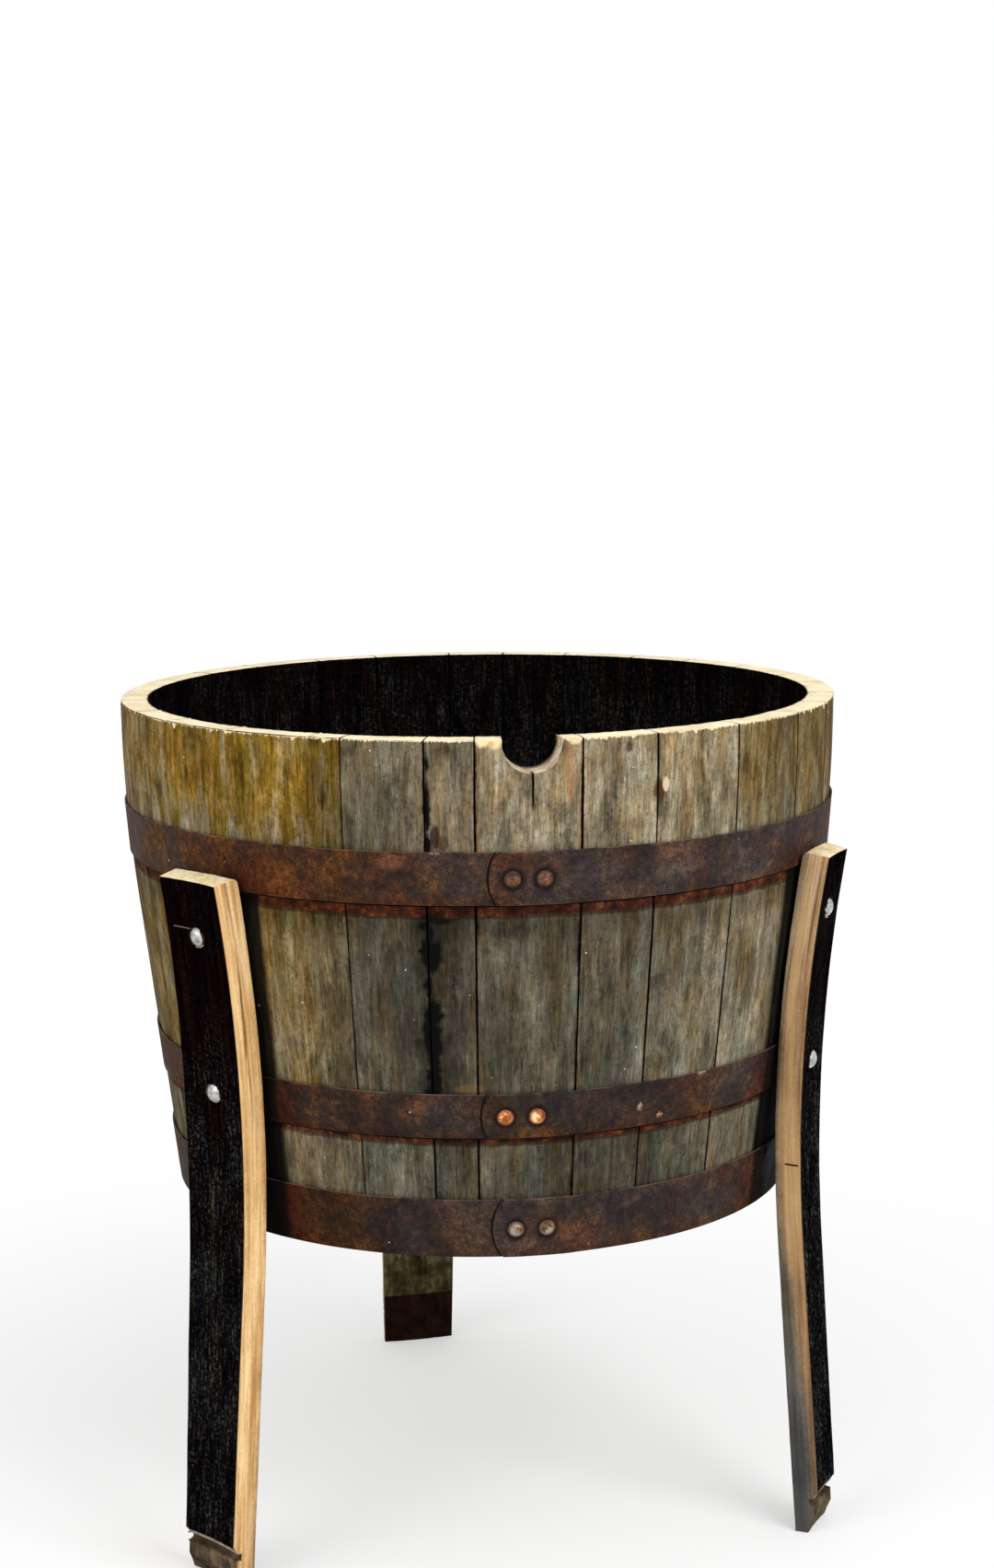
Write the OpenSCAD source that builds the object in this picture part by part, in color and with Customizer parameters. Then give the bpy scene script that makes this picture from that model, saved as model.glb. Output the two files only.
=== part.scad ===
// Half a wine barrel on three legs, a planter.
// The barrel is sawn through at its widest place and stands on legs cut from staves of the same kind,
// turned inside out and bolted on. Millimetres, +Z up, z = 0 on the floor, bung hole towards -Y.
// Turns are degrees round the barrel from the bung hole, to the right as seen from the front.

/* [Barrel] */
// Outside diameter at the sawn rim
rim_d = 700; // [600:5:800]
// Height from the rim to the stave ends
body_h = 478; // [440:1:520]
// Thickness of a stave
stave_t = 27; // [22:0.5:32]
// Radius that a stave is bent to near its widest place
bend_r = 1550; // [1300:10:2200]
// Length of the bend on either side of the widest place, straight from there
bend_run = 190; // [150:5:240]
// Clearance in the seam between two staves
seam_gap = 0.2; // [0.1:0.05:0.5]
// Degrees of the round that each stave covers, from the bung stave to the right
stave_turns = [15.6, 11.7, 15.1, 15.6, 13.2, 12.4, 14.1, 11.2, 15, 13.6, 12, 13.9, 12.2, 10.5,
    14.6, 12.1, 14.3, 13, 11.6, 15.2, 12.7, 14.4, 12.1, 14.5, 14.8, 5, 12.4, 7.2];
// Where the left seam of the bung stave lies
bung_seam = -8.3; // [-12:0.1:-5]

/* [Bung hole] */
// Diameter of the bung hole at the outside
bung_d = 53; // [40:1:60]
// How far the hole narrows to the inside, on the diameter
bung_taper = 4; // [0:0.5:8]
// Depth of the hole's middle below the sawn rim
bung_drop = 3.4; // [0:0.1:10]

/* [Stave ends] */
// Height of the croze, the groove for the head, above the stave ends
croze_up = 31; // [24:1:45]
// Depth of the croze
croze_deep = 5; // [3:0.5:7]
// Width of the croze at its mouth
croze_w = 6.4; // [5:0.2:9]
// How much thinner a stave is below the croze
chime_cut = 5; // [2:0.5:8]
// Radius of the howel, the hollow above the croze
howel_r = 14; // [8:1:30]
// Thickness left at the very end of a stave
chime_t = 14; // [9:0.5:20]
// Height of the bevel at the end of a stave
chime_up = 15; // [8:1:22]

/* [Head] */
// Thickness of the head boards
head_t = 22; // [18:1:28]
// Width of the bevel round the head
head_bevel = 24; // [12:1:40]
// Clearance of the head's edge in the croze
croze_fit = 0.2; // [0.1:0.05:0.5]
// Diameter of the dowels between the boards
dowel_d = 8; // [6:0.5:10]
// Length of the dowels
dowel_l = 40; // [25:1:60]
// Distance of the dowels from the middle of the head
dowel_off = 110; // [60:5:150]
// Clearance round a dowel
dowel_fit = 0.1; // [0.05:0.05:0.3]
// Diameter of the drain holes
drain_d = 13; // [8:1:20]
// Distance of the drain holes from the middle of their board
drain_off = 60; // [30:5:90]

/* [Hoops] */
// Thickness of the hoop strip
hoop_t = 2; // [1.2:0.1:3]
// Clearance of a hoop round the staves
hoop_fit = 0.1; // [0.05:0.05:0.4]
// Depth of the bilge hoop's top edge below the rim
bilge_hoop_drop = 98; // [60:1:110]
// Width of the bilge hoop
bilge_hoop_w = 48; // [30:1:55]
// Turn of the bilge hoop's lap end
bilge_lap_turn = -6.5; // [-20:0.1:10]
// Depth of the quarter hoop's top edge below the rim
quarter_hoop_drop = 321; // [300:1:345]
// Width of the quarter hoop
quarter_hoop_w = 42; // [30:1:50]
// Turn of the quarter hoop's lap end
quarter_lap_turn = -7.8; // [-20:0.1:10]
// Width of the head hoop, which ends level with the staves
head_hoop_w = 56; // [40:1:65]
// Turn of the head hoop's lap end
head_lap_turn = -6.2; // [-20:0.1:10]
// Length over which a hoop's ends lap
lap_l = 70; // [62:1:90]
// Radius of the rounded lap end
lap_end_r = 45; // [32:1:80]

/* [Rivets] */
// Diameter of a rivet's domed head
rivet_head_d = 16; // [10:0.5:18]
// Height of a rivet's domed head
rivet_head_h = 4; // [2:0.5:6]
// Diameter of a rivet's shank
rivet_d = 6; // [4:0.5:8]
// Clearance round a rivet
rivet_fit = 0.1; // [0.05:0.05:0.3]
// Distance from the lap end to the first rivet
rivet_in = 21; // [15:0.5:30]
// Distance between the two rivets
rivet_pitch = 28; // [22:0.5:36]

/* [Hoop nails] */
// Turns of the nails in the bilge hoop
bilge_nail_turns = [-97, 172];
// Turns of the nails in the quarter hoop
quarter_nail_turns = [-97, 172];
// Turns of the nails in the head hoop
head_nail_turns = [-97, 54, 172];
// Distance of a nail from the hoop's top edge
nail_drop = 10; // [6:0.5:15]
// Diameter of a nail's head
nail_head_d = 8; // [5:0.5:10]
// Height of a nail's head
nail_head_h = 1.8; // [1:0.2:3]
// Diameter of a nail's shank
nail_d = 3; // [2:0.2:4]
// Length of a nail under its head
nail_l = 20; // [12:1:24]
// Clearance round a nail
nail_fit = 0.05; // [0.02:0.01:0.2]

/* [Legs] */
// Turns of the left, right and back legs
leg_turns = [-52, 56, 185];
// Degrees of a barrel's round that the left, right and back legs were cut from
leg_cut_turns = [14.2, 10, 15.4];
// Length of a leg above its stave's widest place
leg_above = 195; // [150:1:230]
// Length of a leg below its stave's widest place, down to the foot
leg_below = 478; // [420:1:520]
// Depth of a leg's widest place below the rim
leg_drop = 325; // [300:1:345]
// Lean of a leg, its top outwards, in degrees
leg_lean = 3.2; // [1:0.1:5]
// Clearance between a leg and what it bears on
leg_fit = 0.1; // [0.05:0.05:0.5]
// Radius on the upper edge towards the barrel
leg_round = 6; // [2:0.5:12]
// How much is levelled off a foot so that it stands flat
foot_trim = 0.6; // [0.3:0.1:3]

/* [Leg bolts] */
// Distances of the bolts from the top of a leg, down its inner face
bolt_from_top = [55, 207];
// Diameter of the bolts
bolt_d = 8; // [6:1:10]
// Diameter of a bolt's domed head
bolt_head_d = 18; // [14:0.5:22]
// Height of a bolt's domed head
bolt_head_h = 4.5; // [3:0.5:6]
// Depth that a head is drawn into the leg
bolt_sink = 0.9; // [0.6:0.1:2]
// Length of the square neck under a head
neck_l = 5; // [3:0.5:7]
// Clearance round a bolt
bolt_fit = 0.3; // [0.1:0.05:0.6]
// Length of thread past the nut
bolt_spare = 4; // [2:0.5:8]
// Diameter of a washer
washer_d = 24; // [18:1:30]
// Thickness of a washer
washer_t = 2; // [1:0.2:3]
// Clearance between a washer's edge and the wall
washer_fit = 0.05; // [0.02:0.01:0.2]
// Width of a nut across its flats
nut_af = 13; // [10:1:17]
// Height of a nut
nut_h = 6.5; // [5:0.5:9]

/* [Hidden] */
$fn = 96;
eps = 0.01;
rim_r = rim_d / 2;
slope = asin(bend_run / bend_r);
bend_x = bend_r * (1 - cos(slope));
stave_count = len(stave_turns);
// The head is laid out in boards of one width, each a node
head_boards = 6;
arc_step = 0.9;

// Sum of the first n values of a list
function sum(v, n) = n <= 0 ? 0 : v[n - 1] + sum(v, n - 1);
// How far a stave's outer face has drawn in at a distance from its widest place
function bow(t) = abs(t) <= bend_run
    ? bend_r - sqrt(bend_r * bend_r - t * t)
    : bend_x + (abs(t) - bend_run) * tan(slope);
// Outside radius of the barrel at a depth below the rim
function body_r(depth) = rim_r - bow(depth);
// Turns at the two seams of a stave
function seam(i) = bung_seam + 360 * sum(stave_turns, i) / sum(stave_turns, stave_count);

// The hoops: depth of the top edge, width, turn of the lap end, turns of the nails
hoops = [
    [bilge_hoop_drop, bilge_hoop_w, bilge_lap_turn, bilge_nail_turns],
    [quarter_hoop_drop, quarter_hoop_w, quarter_lap_turn, quarter_nail_turns],
    [body_h - head_hoop_w, head_hoop_w, head_lap_turn, head_nail_turns]];
function hoop_top(k) = hoops[k][0];
function hoop_w(k) = hoops[k][1];
function hoop_mid(k) = hoop_top(k) + hoop_w(k) / 2;
// A hoop is a straight strip, so it stands off by the height of the bow that it spans
function hoop_off(k) = hoop_fit + hoop_w(k) * hoop_w(k) / (8 * bend_r);
function hoop_r(k, depth) = hoop_off(k)
    + body_r(hoop_top(k)) + (body_r(hoop_top(k) + hoop_w(k)) - body_r(hoop_top(k)))
    * (depth - hoop_top(k)) / hoop_w(k);
function hoop_slope(k) = atan((hoop_r(k, hoop_top(k)) - hoop_r(k, hoop_top(k) + hoop_w(k))) / hoop_w(k));

// How far the bent and straight stretches of a hoop run into each other
lap_over = 1.5;

// The bung hole is cut from past one face of its stave to past the other, at the same taper
bung_past = 8;
bung_flare = bung_taper * bung_past / stave_t;

// The croze, at the face of the thinned stave end
croze_x = body_r(body_h - croze_up) - (stave_t - chime_cut) / cos(slope);
head_r = croze_x + croze_deep - croze_fit;
head_depth = body_h - croze_up;
board_w = 2 * head_r / head_boards;

// A leg's outer face at a distance t below its widest place, leaned, as [out, up]
function leaned(x, up) = [x * cos(leg_lean) + up * sin(leg_lean), up * cos(leg_lean) - x * sin(leg_lean)];
function leg_face(t) = leaned(bow(t), -t);
// What the leg bears on at a depth: a hoop where there is one, otherwise the staves
function bears_on(depth) = max([body_r(depth),
    for (k = [0:2]) abs(depth - hoop_mid(k)) < hoop_w(k) * 0.52 ? hoop_r(k, depth) + hoop_t : 0]);
leg_points = 800;
leg_x = leg_fit + max([for (i = [0:leg_points])
    let (t = (leg_above + leg_below) * i / leg_points - leg_above, depth = leg_drop - leg_face(t)[1])
        depth < body_h ? bears_on(depth) - leg_face(t)[0] : 0]);
// The rim's height above the floor, which the feet give
foot_corner = leg_face(leg_below);
rim_z = leg_drop - foot_corner[1] - foot_trim;

// A bolt runs square to the wall; its seat is on the leg's inner face
function bolt_angle(n) = let (t = bolt_from_top[n] - leg_above) t < -bend_run ? -slope
    : t > bend_run ? slope : asin(t / bend_r);
function bolt_seat(n) = let (a = bolt_angle(n), r = bend_r - stave_t,
    p = leaned(bend_r - r * cos(a), -r * sin(a))) [leg_x + p[0], p[1] - leg_drop];
wall_out = [cos(slope), -sin(slope)];
function bolt_grip(n) = (bolt_seat(n) - [body_r(bend_run), -bend_run]) * wall_out;
// Flat washers bear on a hollow wall at their edges
hollow_r = body_r(body_h) - stave_t;
washer_off = hollow_r - sqrt(pow(hollow_r, 2) - pow(washer_d / 2, 2)) + washer_fit;

// The planter's middle is moved so that the box round the whole object is centred
back_reach = leg_x + leaned(bow(leg_above) + stave_t, leg_above)[0];
axis_y = (rim_r - back_reach) / 2;

// Barrel coordinates: z = 0 at the rim, on the barrel's own axis
module barrel() translate([0, axis_y, rim_z]) children();

// Turns the +X direction to a turn round the barrel
module at_turn(turn) rotate([0, 0, turn - 90]) children();

// Section of a stave from a length above its widest place down to its end
module stave_section(above, below) {
    top = asin(above / bend_r);
    steps = ceil((top + slope) / arc_step);
    angles = [for (i = [0:steps]) top - (top + slope) * i / steps];
    end_r = rim_r - bow(below);
    difference() {
        polygon(concat(
            [for (a = angles) [rim_r - bend_r * (1 - cos(a)), bend_r * sin(a)]],
            [[end_r, -below], [end_r - stave_t / cos(slope), -below]],
            [for (i = [steps:-1:0]) [rim_r - bend_r + (bend_r - stave_t) * cos(angles[i]),
                (bend_r - stave_t) * sin(angles[i])]]));
        translate([end_r, -below]) rotate(-slope) stave_end_cuts();
        croze_cut(below);
    }
}

// The thinned end with the howel above it and the bevel below, in the frame of the wall
module stave_end_cuts() {
    face = chime_cut - stave_t;
    translate([-stave_t - 10, -10]) square([10 + chime_cut, croze_up + 10]);
    translate([face - howel_r, croze_up]) circle(r = howel_r);
    polygon([[face - eps, chime_up], [-chime_t, 0], [-chime_t, -10], [face - 20, -10], [face - 20, chime_up]]);
}

// The groove for the head, cut level
module croze_cut(below) {
    mouth = rim_r - bow(below - croze_up) - (stave_t - chime_cut) / cos(slope);
    translate([mouth, croze_up - below])
        polygon([[-3, -croze_w / 2 - 0.6], [-3, croze_w / 2 + 0.6],
            [croze_deep, croze_w / 2 - 1], [croze_deep, 1 - croze_w / 2]]);
}

module stave_blank(from, to, above, below)
    rotate([0, 0, from]) rotate_extrude(angle = to - from) stave_section(above, below);

// Everything that is drilled through the wall near a stave
module wall_holes(from, to) {
    for (j = [0:2])
        if (leg_turns[j] > from - 5 && leg_turns[j] < to + 5)
            for (n = [0:1]) at_bolt(j, n) bolt_bore();
    for (k = [0:2])
        for (turn = hoops[k][3])
            if (turn > from - 2 && turn < to + 2) at_nail(k, turn) nail_bore();
}

module stave(i) {
    half_gap = seam_gap / 2 / rim_r * 180 / PI;
    from = seam(i - 1);
    to = seam(i);
    shift = from > 190 ? 360 : 0;
    color("#75695a") barrel() difference() {
        at_turn(0) stave_blank(from + half_gap, to - half_gap, 0, body_h);
        wall_holes(from - shift, to - shift);
        if (i == 1)
            translate([0, bung_past + stave_t - rim_r, -bung_drop]) rotate([90, 0, 0])
                cylinder(h = stave_t + 2 * bung_past, d1 = bung_d - bung_taper - bung_flare, d2 = bung_d + bung_flare);
    }
}

// The head: boards with a bevelled edge that sits in the croze
module head_disc() {
    lip = croze_w / 2 - croze_fit;
    rotate_extrude() polygon([[0, -head_t / 2], [head_r - head_bevel, -head_t / 2],
        [head_r - croze_deep - 1, -lip], [head_r, 1 - lip],
        [head_r, lip - 1], [head_r - croze_deep - 1, lip], [head_r - head_bevel, head_t / 2],
        [0, head_t / 2]]);
}

module board_dowels(fit)
    for (s = [1:head_boards - 1], side = [-1, 1])
        translate([side * dowel_off, s * board_w - head_r, 0]) rotate([90, 0, 0])
            cylinder(h = dowel_l + 2 * fit, d = dowel_d + 2 * fit, center = true);

module head_board(i) {
    color("#8a7a63") barrel() translate([0, 0, -head_depth]) difference() {
        intersection() {
            head_disc();
            translate([-head_r, (i - 1) * board_w - head_r + seam_gap / 2, -head_t])
                cube([2 * head_r, board_w - seam_gap, 2 * head_t]);
        }
        board_dowels(dowel_fit);
        if (i > 1 && i < head_boards)
            translate([(i % 2 * 2 - 1) * drain_off, (i - 0.5) * board_w - head_r, -head_t])
                cylinder(h = 2 * head_t, d = drain_d);
    }
}

module head_dowels()
    color("#b99b6b") barrel() translate([0, 0, -head_depth]) board_dowels(0);

// Cross-section of a hoop, raised by a number of strip thicknesses
module hoop_section(k, lift)
    polygon([for (c = [[0, 0], [1, 0], [1, 1], [0, 1]])
        [hoop_r(k, hoop_top(k) + c[1] * hoop_w(k)) + lift + c[0] * hoop_t,
            -hoop_top(k) - c[1] * hoop_w(k)]]);

// A strip bent round the barrel. Its outer end rides on the inner one, then runs straight down to the staves
module hoop(k) {
    r = hoop_r(k, hoop_mid(k));
    lift = hoop_t + hoop_fit;
    drop = acos(r / (r + lift));
    drop_l = r * tan(drop);
    lap = lap_l / r * 180 / PI;
    color("#4b3d3a") barrel() difference() {
        at_turn(hoops[k][2] + lap + drop) union() {
            rotate_extrude(angle = 360 - drop) hoop_section(k, 0);
            rotate([90, 0, 0]) linear_extrude(drop_l + lap_over) hoop_section(k, 0);
            difference() {
                rotate([0, 0, -lap - drop]) rotate_extrude(angle = lap + 0.3) hoop_section(k, lift);
                lap_corners(k, lap + drop);
            }
        }
        for (n = [0:1]) at_rivet(k, n) rivet(rivet_fit);
        for (turn = hoops[k][3]) at_nail(k, turn) nail_bore();
        for (j = [0:2], n = [0:1])
            if (abs(bolt_seat(n)[1] + hoop_mid(k)) < hoop_w(k) / 2 + bolt_d) at_bolt(j, n) bolt_bore();
    }
}

// What is cut off the lap end to round it
module lap_corners(k, back)
    rotate([0, 0, -back]) translate([0, 0, -hoop_mid(k)]) rotate([0, 90, 0]) difference() {
        translate([-hoop_w(k), -lap_end_r, 0]) cube([2 * hoop_w(k), 1.4 * lap_end_r, rim_d]);
        translate([0, lap_end_r, -1]) cylinder(h = rim_d + 2, r = lap_end_r);
    }

rivet_grip = 2 * hoop_t + 2 * hoop_fit;

// Frame of a rivet: +Z outwards from the face of the staves
module at_rivet(k, n)
    at_turn(hoops[k][2] + (rivet_in + n * rivet_pitch) / hoop_r(k, hoop_mid(k)) * 180 / PI)
        translate([hoop_r(k, hoop_mid(k)), 0, -hoop_mid(k)]) rotate([0, hoop_slope(k), 0])
            rotate([0, 90, 0]) children();

module dome(d, h) {
    ball = (d * d / 4 + h * h) / (2 * h);
    rotate_extrude() intersection() {
        translate([0, h - ball]) circle(r = ball);
        square([d / 2, h]);
    }
}

// A rivet with its domed head outside and its tail spread in a countersink
module rivet(fit) {
    translate([0, 0, -fit]) cylinder(h = 1.5, d1 = rivet_d + 3 + 2 * fit, d2 = rivet_d + 2 * fit);
    cylinder(h = rivet_grip + fit, d = rivet_d + 2 * fit);
}

module hoop_rivets(k)
    color("#8a5a3c") barrel() for (n = [0:1]) at_rivet(k, n) {
        rivet(0);
        translate([0, 0, rivet_grip]) dome(rivet_head_d, rivet_head_h);
    }

// Frame of a nail: +Z outwards from the face of the hoop
module at_nail(k, turn)
    at_turn(turn) translate([hoop_r(k, hoop_top(k) + nail_drop) + hoop_t / cos(hoop_slope(k)), 0,
        -hoop_top(k) - nail_drop]) rotate([0, 90 + hoop_slope(k), 0]) children();

module nail_bore()
    translate([0, 0, -nail_l - 1]) cylinder(h = nail_l + 3, d = nail_d + 2 * nail_fit);

module hoop_nails()
    color("#5c4a44") barrel() for (k = [0:2], turn = hoops[k][3]) at_nail(k, turn) {
        translate([0, 0, hoop_fit]) dome(nail_head_d, nail_head_h);
        translate([0, 0, 5 - nail_l]) cylinder(h = nail_l - 5 + hoop_fit + eps, d = nail_d);
        translate([0, 0, -nail_l]) cylinder(h = 5, d1 = 0.6, d2 = nail_d);
    }

// A leg: a stave turned inside out, leaned, and levelled at the foot
module leg(j)
    color("#2a2220") barrel() difference() {
        at_turn(leg_turns[j]) translate([leg_x, 0, -leg_drop]) rotate([0, leg_lean, 0])
            rotate([0, 0, 180]) translate([-rim_r, 0, 0]) difference() {
                stave_blank(-leg_cut_turns[j] / 2, leg_cut_turns[j] / 2, leg_above, leg_below);
                leg_top_round();
            }
        translate([0, 0, -rim_z - 20]) cylinder(h = 20, r = rim_r + 100);
        for (n = [0:1]) at_bolt(j, n) leg_bore(n);
    }

// Rounds the upper edge on the face towards the barrel
module leg_top_round() {
    top = asin(leg_above / bend_r);
    translate([rim_r - bend_r, 0, 0]) rotate([0, -top, 0]) translate([bend_r, 0, 0])
        rotate([90, 0, 0]) linear_extrude(rim_d, center = true) difference() {
            translate([-leg_round, -leg_round]) square(2 * leg_round + 10);
            translate([-leg_round, -leg_round]) circle(r = leg_round);
        }
}

// Frame of a bolt: origin on the leg's inner face, +Z outwards, square to the wall
module at_bolt(j, n)
    at_turn(leg_turns[j]) translate([bolt_seat(n)[0], 0, bolt_seat(n)[1]])
        rotate([0, 90 + slope, 0]) children();

module bolt_bore()
    translate([0, 0, -200]) cylinder(h = 260, d = bolt_d + 2 * bolt_fit);

module leg_bore(n) {
    bolt_bore();
    translate([0, 0, -bolt_sink]) cylinder(h = 20, d = bolt_head_d + 2 * bolt_fit);
    translate([0, 0, -bolt_sink - neck_l / 2 - bolt_fit / 2])
        cube([bolt_d + bolt_fit, bolt_d + bolt_fit, neck_l + bolt_fit], center = true);
}

function under_wall(n) = bolt_grip(n) + stave_t + washer_off;

module leg_bolts()
    color("#c9ccce") barrel() for (j = [0:2], n = [0:1]) at_bolt(j, n) {
        tail = under_wall(n) + washer_t + nut_h + bolt_spare;
        translate([0, 0, -bolt_sink]) dome(bolt_head_d, bolt_head_h);
        translate([0, 0, -bolt_sink - neck_l / 2])
            cube([bolt_d, bolt_d, neck_l + 2 * eps], center = true);
        translate([0, 0, 1 - tail]) cylinder(h = tail - bolt_sink - 1, d = bolt_d);
        translate([0, 0, -tail]) cylinder(h = 1 + eps, d1 = bolt_d - 2, d2 = bolt_d);
    }

module leg_washers()
    color("#c9ccce") barrel() for (j = [0:2], n = [0:1]) at_bolt(j, n)
        translate([0, 0, -under_wall(n) - washer_t]) difference() {
            cylinder(h = washer_t, d = washer_d);
            translate([0, 0, -1]) cylinder(h = washer_t + 2, d = bolt_d + 2 * bolt_fit);
        }

module leg_nuts()
    color("#c9ccce") barrel() for (j = [0:2], n = [0:1]) at_bolt(j, n)
        translate([0, 0, -under_wall(n) - washer_t - nut_h]) difference() {
            cylinder(h = nut_h, d = nut_af / cos(30), $fn = 6);
            translate([0, 0, -1]) cylinder(h = nut_h + 2, d = bolt_d + bolt_fit);
        }

stave(1);  // bung_stave
stave(2);  // stave_02
stave(3);  // stave_03
stave(4);  // stave_04
stave(5);  // stave_05
stave(6);  // stave_06
stave(7);  // stave_07
stave(8);  // stave_08
stave(9);  // stave_09
stave(10);  // stave_10
stave(11);  // stave_11
stave(12);  // stave_12
stave(13);  // stave_13
stave(14);  // stave_14
stave(15);  // stave_15
stave(16);  // stave_16
stave(17);  // stave_17
stave(18);  // stave_18
stave(19);  // stave_19
stave(20);  // stave_20
stave(21);  // stave_21
stave(22);  // stave_22
stave(23);  // stave_23
stave(24);  // stave_24
stave(25);  // stave_25
stave(26);  // stave_26
stave(27);  // stave_27
stave(28);  // stave_28
head_board(1);  // head_board_1
head_board(2);  // head_board_2
head_board(3);  // head_board_3
head_board(4);  // head_board_4
head_board(5);  // head_board_5
head_board(6);  // head_board_6
head_dowels();
hoop(0);  // bilge_hoop
hoop(1);  // quarter_hoop
hoop(2);  // head_hoop
hoop_rivets(0);  // bilge_hoop_rivets
hoop_rivets(1);  // quarter_hoop_rivets
hoop_rivets(2);  // head_hoop_rivets
hoop_nails();
leg(0);  // left_leg
leg(1);  // right_leg
leg(2);  // back_leg
leg_bolts();
leg_washers();
leg_nuts();
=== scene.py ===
import math

import bmesh
import bpy
import numpy as np
from mathutils import Matrix, Vector


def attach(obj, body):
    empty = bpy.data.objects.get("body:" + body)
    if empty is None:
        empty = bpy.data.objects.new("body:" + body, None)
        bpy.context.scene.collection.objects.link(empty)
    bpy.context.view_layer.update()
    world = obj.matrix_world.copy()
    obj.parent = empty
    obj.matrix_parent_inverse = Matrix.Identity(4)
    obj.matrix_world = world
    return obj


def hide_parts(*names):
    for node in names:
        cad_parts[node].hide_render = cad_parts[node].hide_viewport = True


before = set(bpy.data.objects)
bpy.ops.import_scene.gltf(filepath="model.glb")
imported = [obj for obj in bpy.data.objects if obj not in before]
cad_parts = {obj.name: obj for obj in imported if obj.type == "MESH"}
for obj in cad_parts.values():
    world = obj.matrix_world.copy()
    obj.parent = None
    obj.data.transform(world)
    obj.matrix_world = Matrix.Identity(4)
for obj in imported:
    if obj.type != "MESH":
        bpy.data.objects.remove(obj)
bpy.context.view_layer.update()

# Camera
# It stands a little to the left of the bung notch, about 2.5 m off and 0.32 m above the rim. It looks down by
# nine degrees and is turned by half a degree about its own line of sight.
eye = Vector((-0.34293, -2.54231, 1.12139))
heading, dip, tilt = math.radians(8.132), math.radians(9.163), math.radians(-0.535)
focal_pixels, picture_h = 2822.9, 1703
forward = Vector((math.sin(heading) * math.cos(dip), math.cos(heading) * math.cos(dip), -math.sin(dip)))
level = Vector((math.cos(heading), -math.sin(heading), 0))
upward = level.cross(forward)
across = level * math.cos(tilt) + upward * math.sin(tilt)
upright = upward * math.cos(tilt) - level * math.sin(tilt)
bpy.ops.object.camera_add()
camera = bpy.context.object
camera.matrix_world = Matrix((across, upright, -forward)).transposed().to_4x4()
camera.location = eye
camera.data.sensor_width = 36
camera.data.lens = focal_pixels * camera.data.sensor_width / picture_h
bpy.context.scene.camera = camera

# Barrel staves
# Oak, jointed to narrow towards the ends, toasted black inside and drawn together by the hoops. The barrel is
# sawn through at its widest place, so the rim shows pale wood and the front stave keeps half of the bung hole.
rim_z, axis_y = 0.804293, -0.0126877
rim_r, wall = 0.350, 0.027
bend_r, bend_run = 1.550, 0.190
barrel_h = 0.478
end_z = rim_z - barrel_h
slope = math.asin(bend_run / bend_r)
bend_step, straight_steps = 0.016, 14
# Height above the stave's end and thickness there: the howel, the croze and the chime
end_details = [(0.0417, 0.027), (0.0396, 0.0250), (0.0371, 0.0234), (0.0347, 0.0225), (0.0332, 0.0170),
               (0.0288, 0.0170), (0.0274, 0.0220), (0.0212, 0.0220), (0.0150, 0.0220), (0.0075, 0.0180),
               (0.0000, 0.0140)]
howel_h = 0.042
# Turns are degrees round the barrel from the bung hole, to the right as seen from the front. Depths are metres
# below the rim.
bung_seam = -8.3
stave_turns = [15.6, 11.7, 15.1, 15.6, 13.2, 12.4, 14.1, 11.2, 15, 13.6, 12, 13.9, 12.2, 10.5,
               14.6, 12.1, 14.3, 13, 11.6, 15.2, 12.7, 14.4, 12.1, 14.5, 14.8, 5, 12.4, 7.2]
# How ochre each stave has weathered, from the bung stave to the right
stave_ochre = [0.16, 0.12, 0.2, 0.5, 0.62, 0.45, 0.3, 0.6, 0.25, 0.5, 0.3, 0.7, 0.35, 0.2,
               0.55, 0.3, 0.65, 0.25, 0.4, 0.6, 0.35, 0.6, 0.7, 0.9, 1.0, 1.0, 0.12, 0.1]
# The seams at the front stand a little open, most of all beside the bung stave; on the left they are flush
flush_staves = (22, 23, 24, 25, 26)
seam_gap = 0.00004
# The bung hole narrows inwards, and a crack runs down from its notch
bung_inner_r, bung_outer_r, bung_drop = 0.02391, 0.02709, 0.0034
crack_wide, crack_deep, crack_long, crack_low = 0.0015, 0.02, 0.031, 0.041
# How much light the wall gives back in its three bands, at turns round the front
upper_light = [(-85, 0.56), (-60, 0.68), (-33.2, 0.71), (-32.8, 0.41), (-28.1, 0.43), (-27.9, 0.44),
               (-15.7, 0.48), (-15.3, 0.52), (-8.4, 0.63), (-8.2, 0.76), (20, 0.92), (34, 0.81), (36, 0.60),
               (45, 0.57), (56, 0.46), (85, 0.43)]
middle_light = [(-85, 0.46), (-50, 0.60), (-38, 0.60), (-30, 0.41), (-26, 0.33), (-20, 0.23), (-13, 0.17),
                (-8, 0.28), (4, 0.34), (15, 0.375), (24, 0.52), (36, 0.74), (60, 0.66)]
lower_light = [(-85, 0.36), (-45, 0.46), (-28, 0.40), (-8, 0.29), (10, 0.23), (20, 0.24), (34, 0.43),
               (80, 0.42)]
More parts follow.
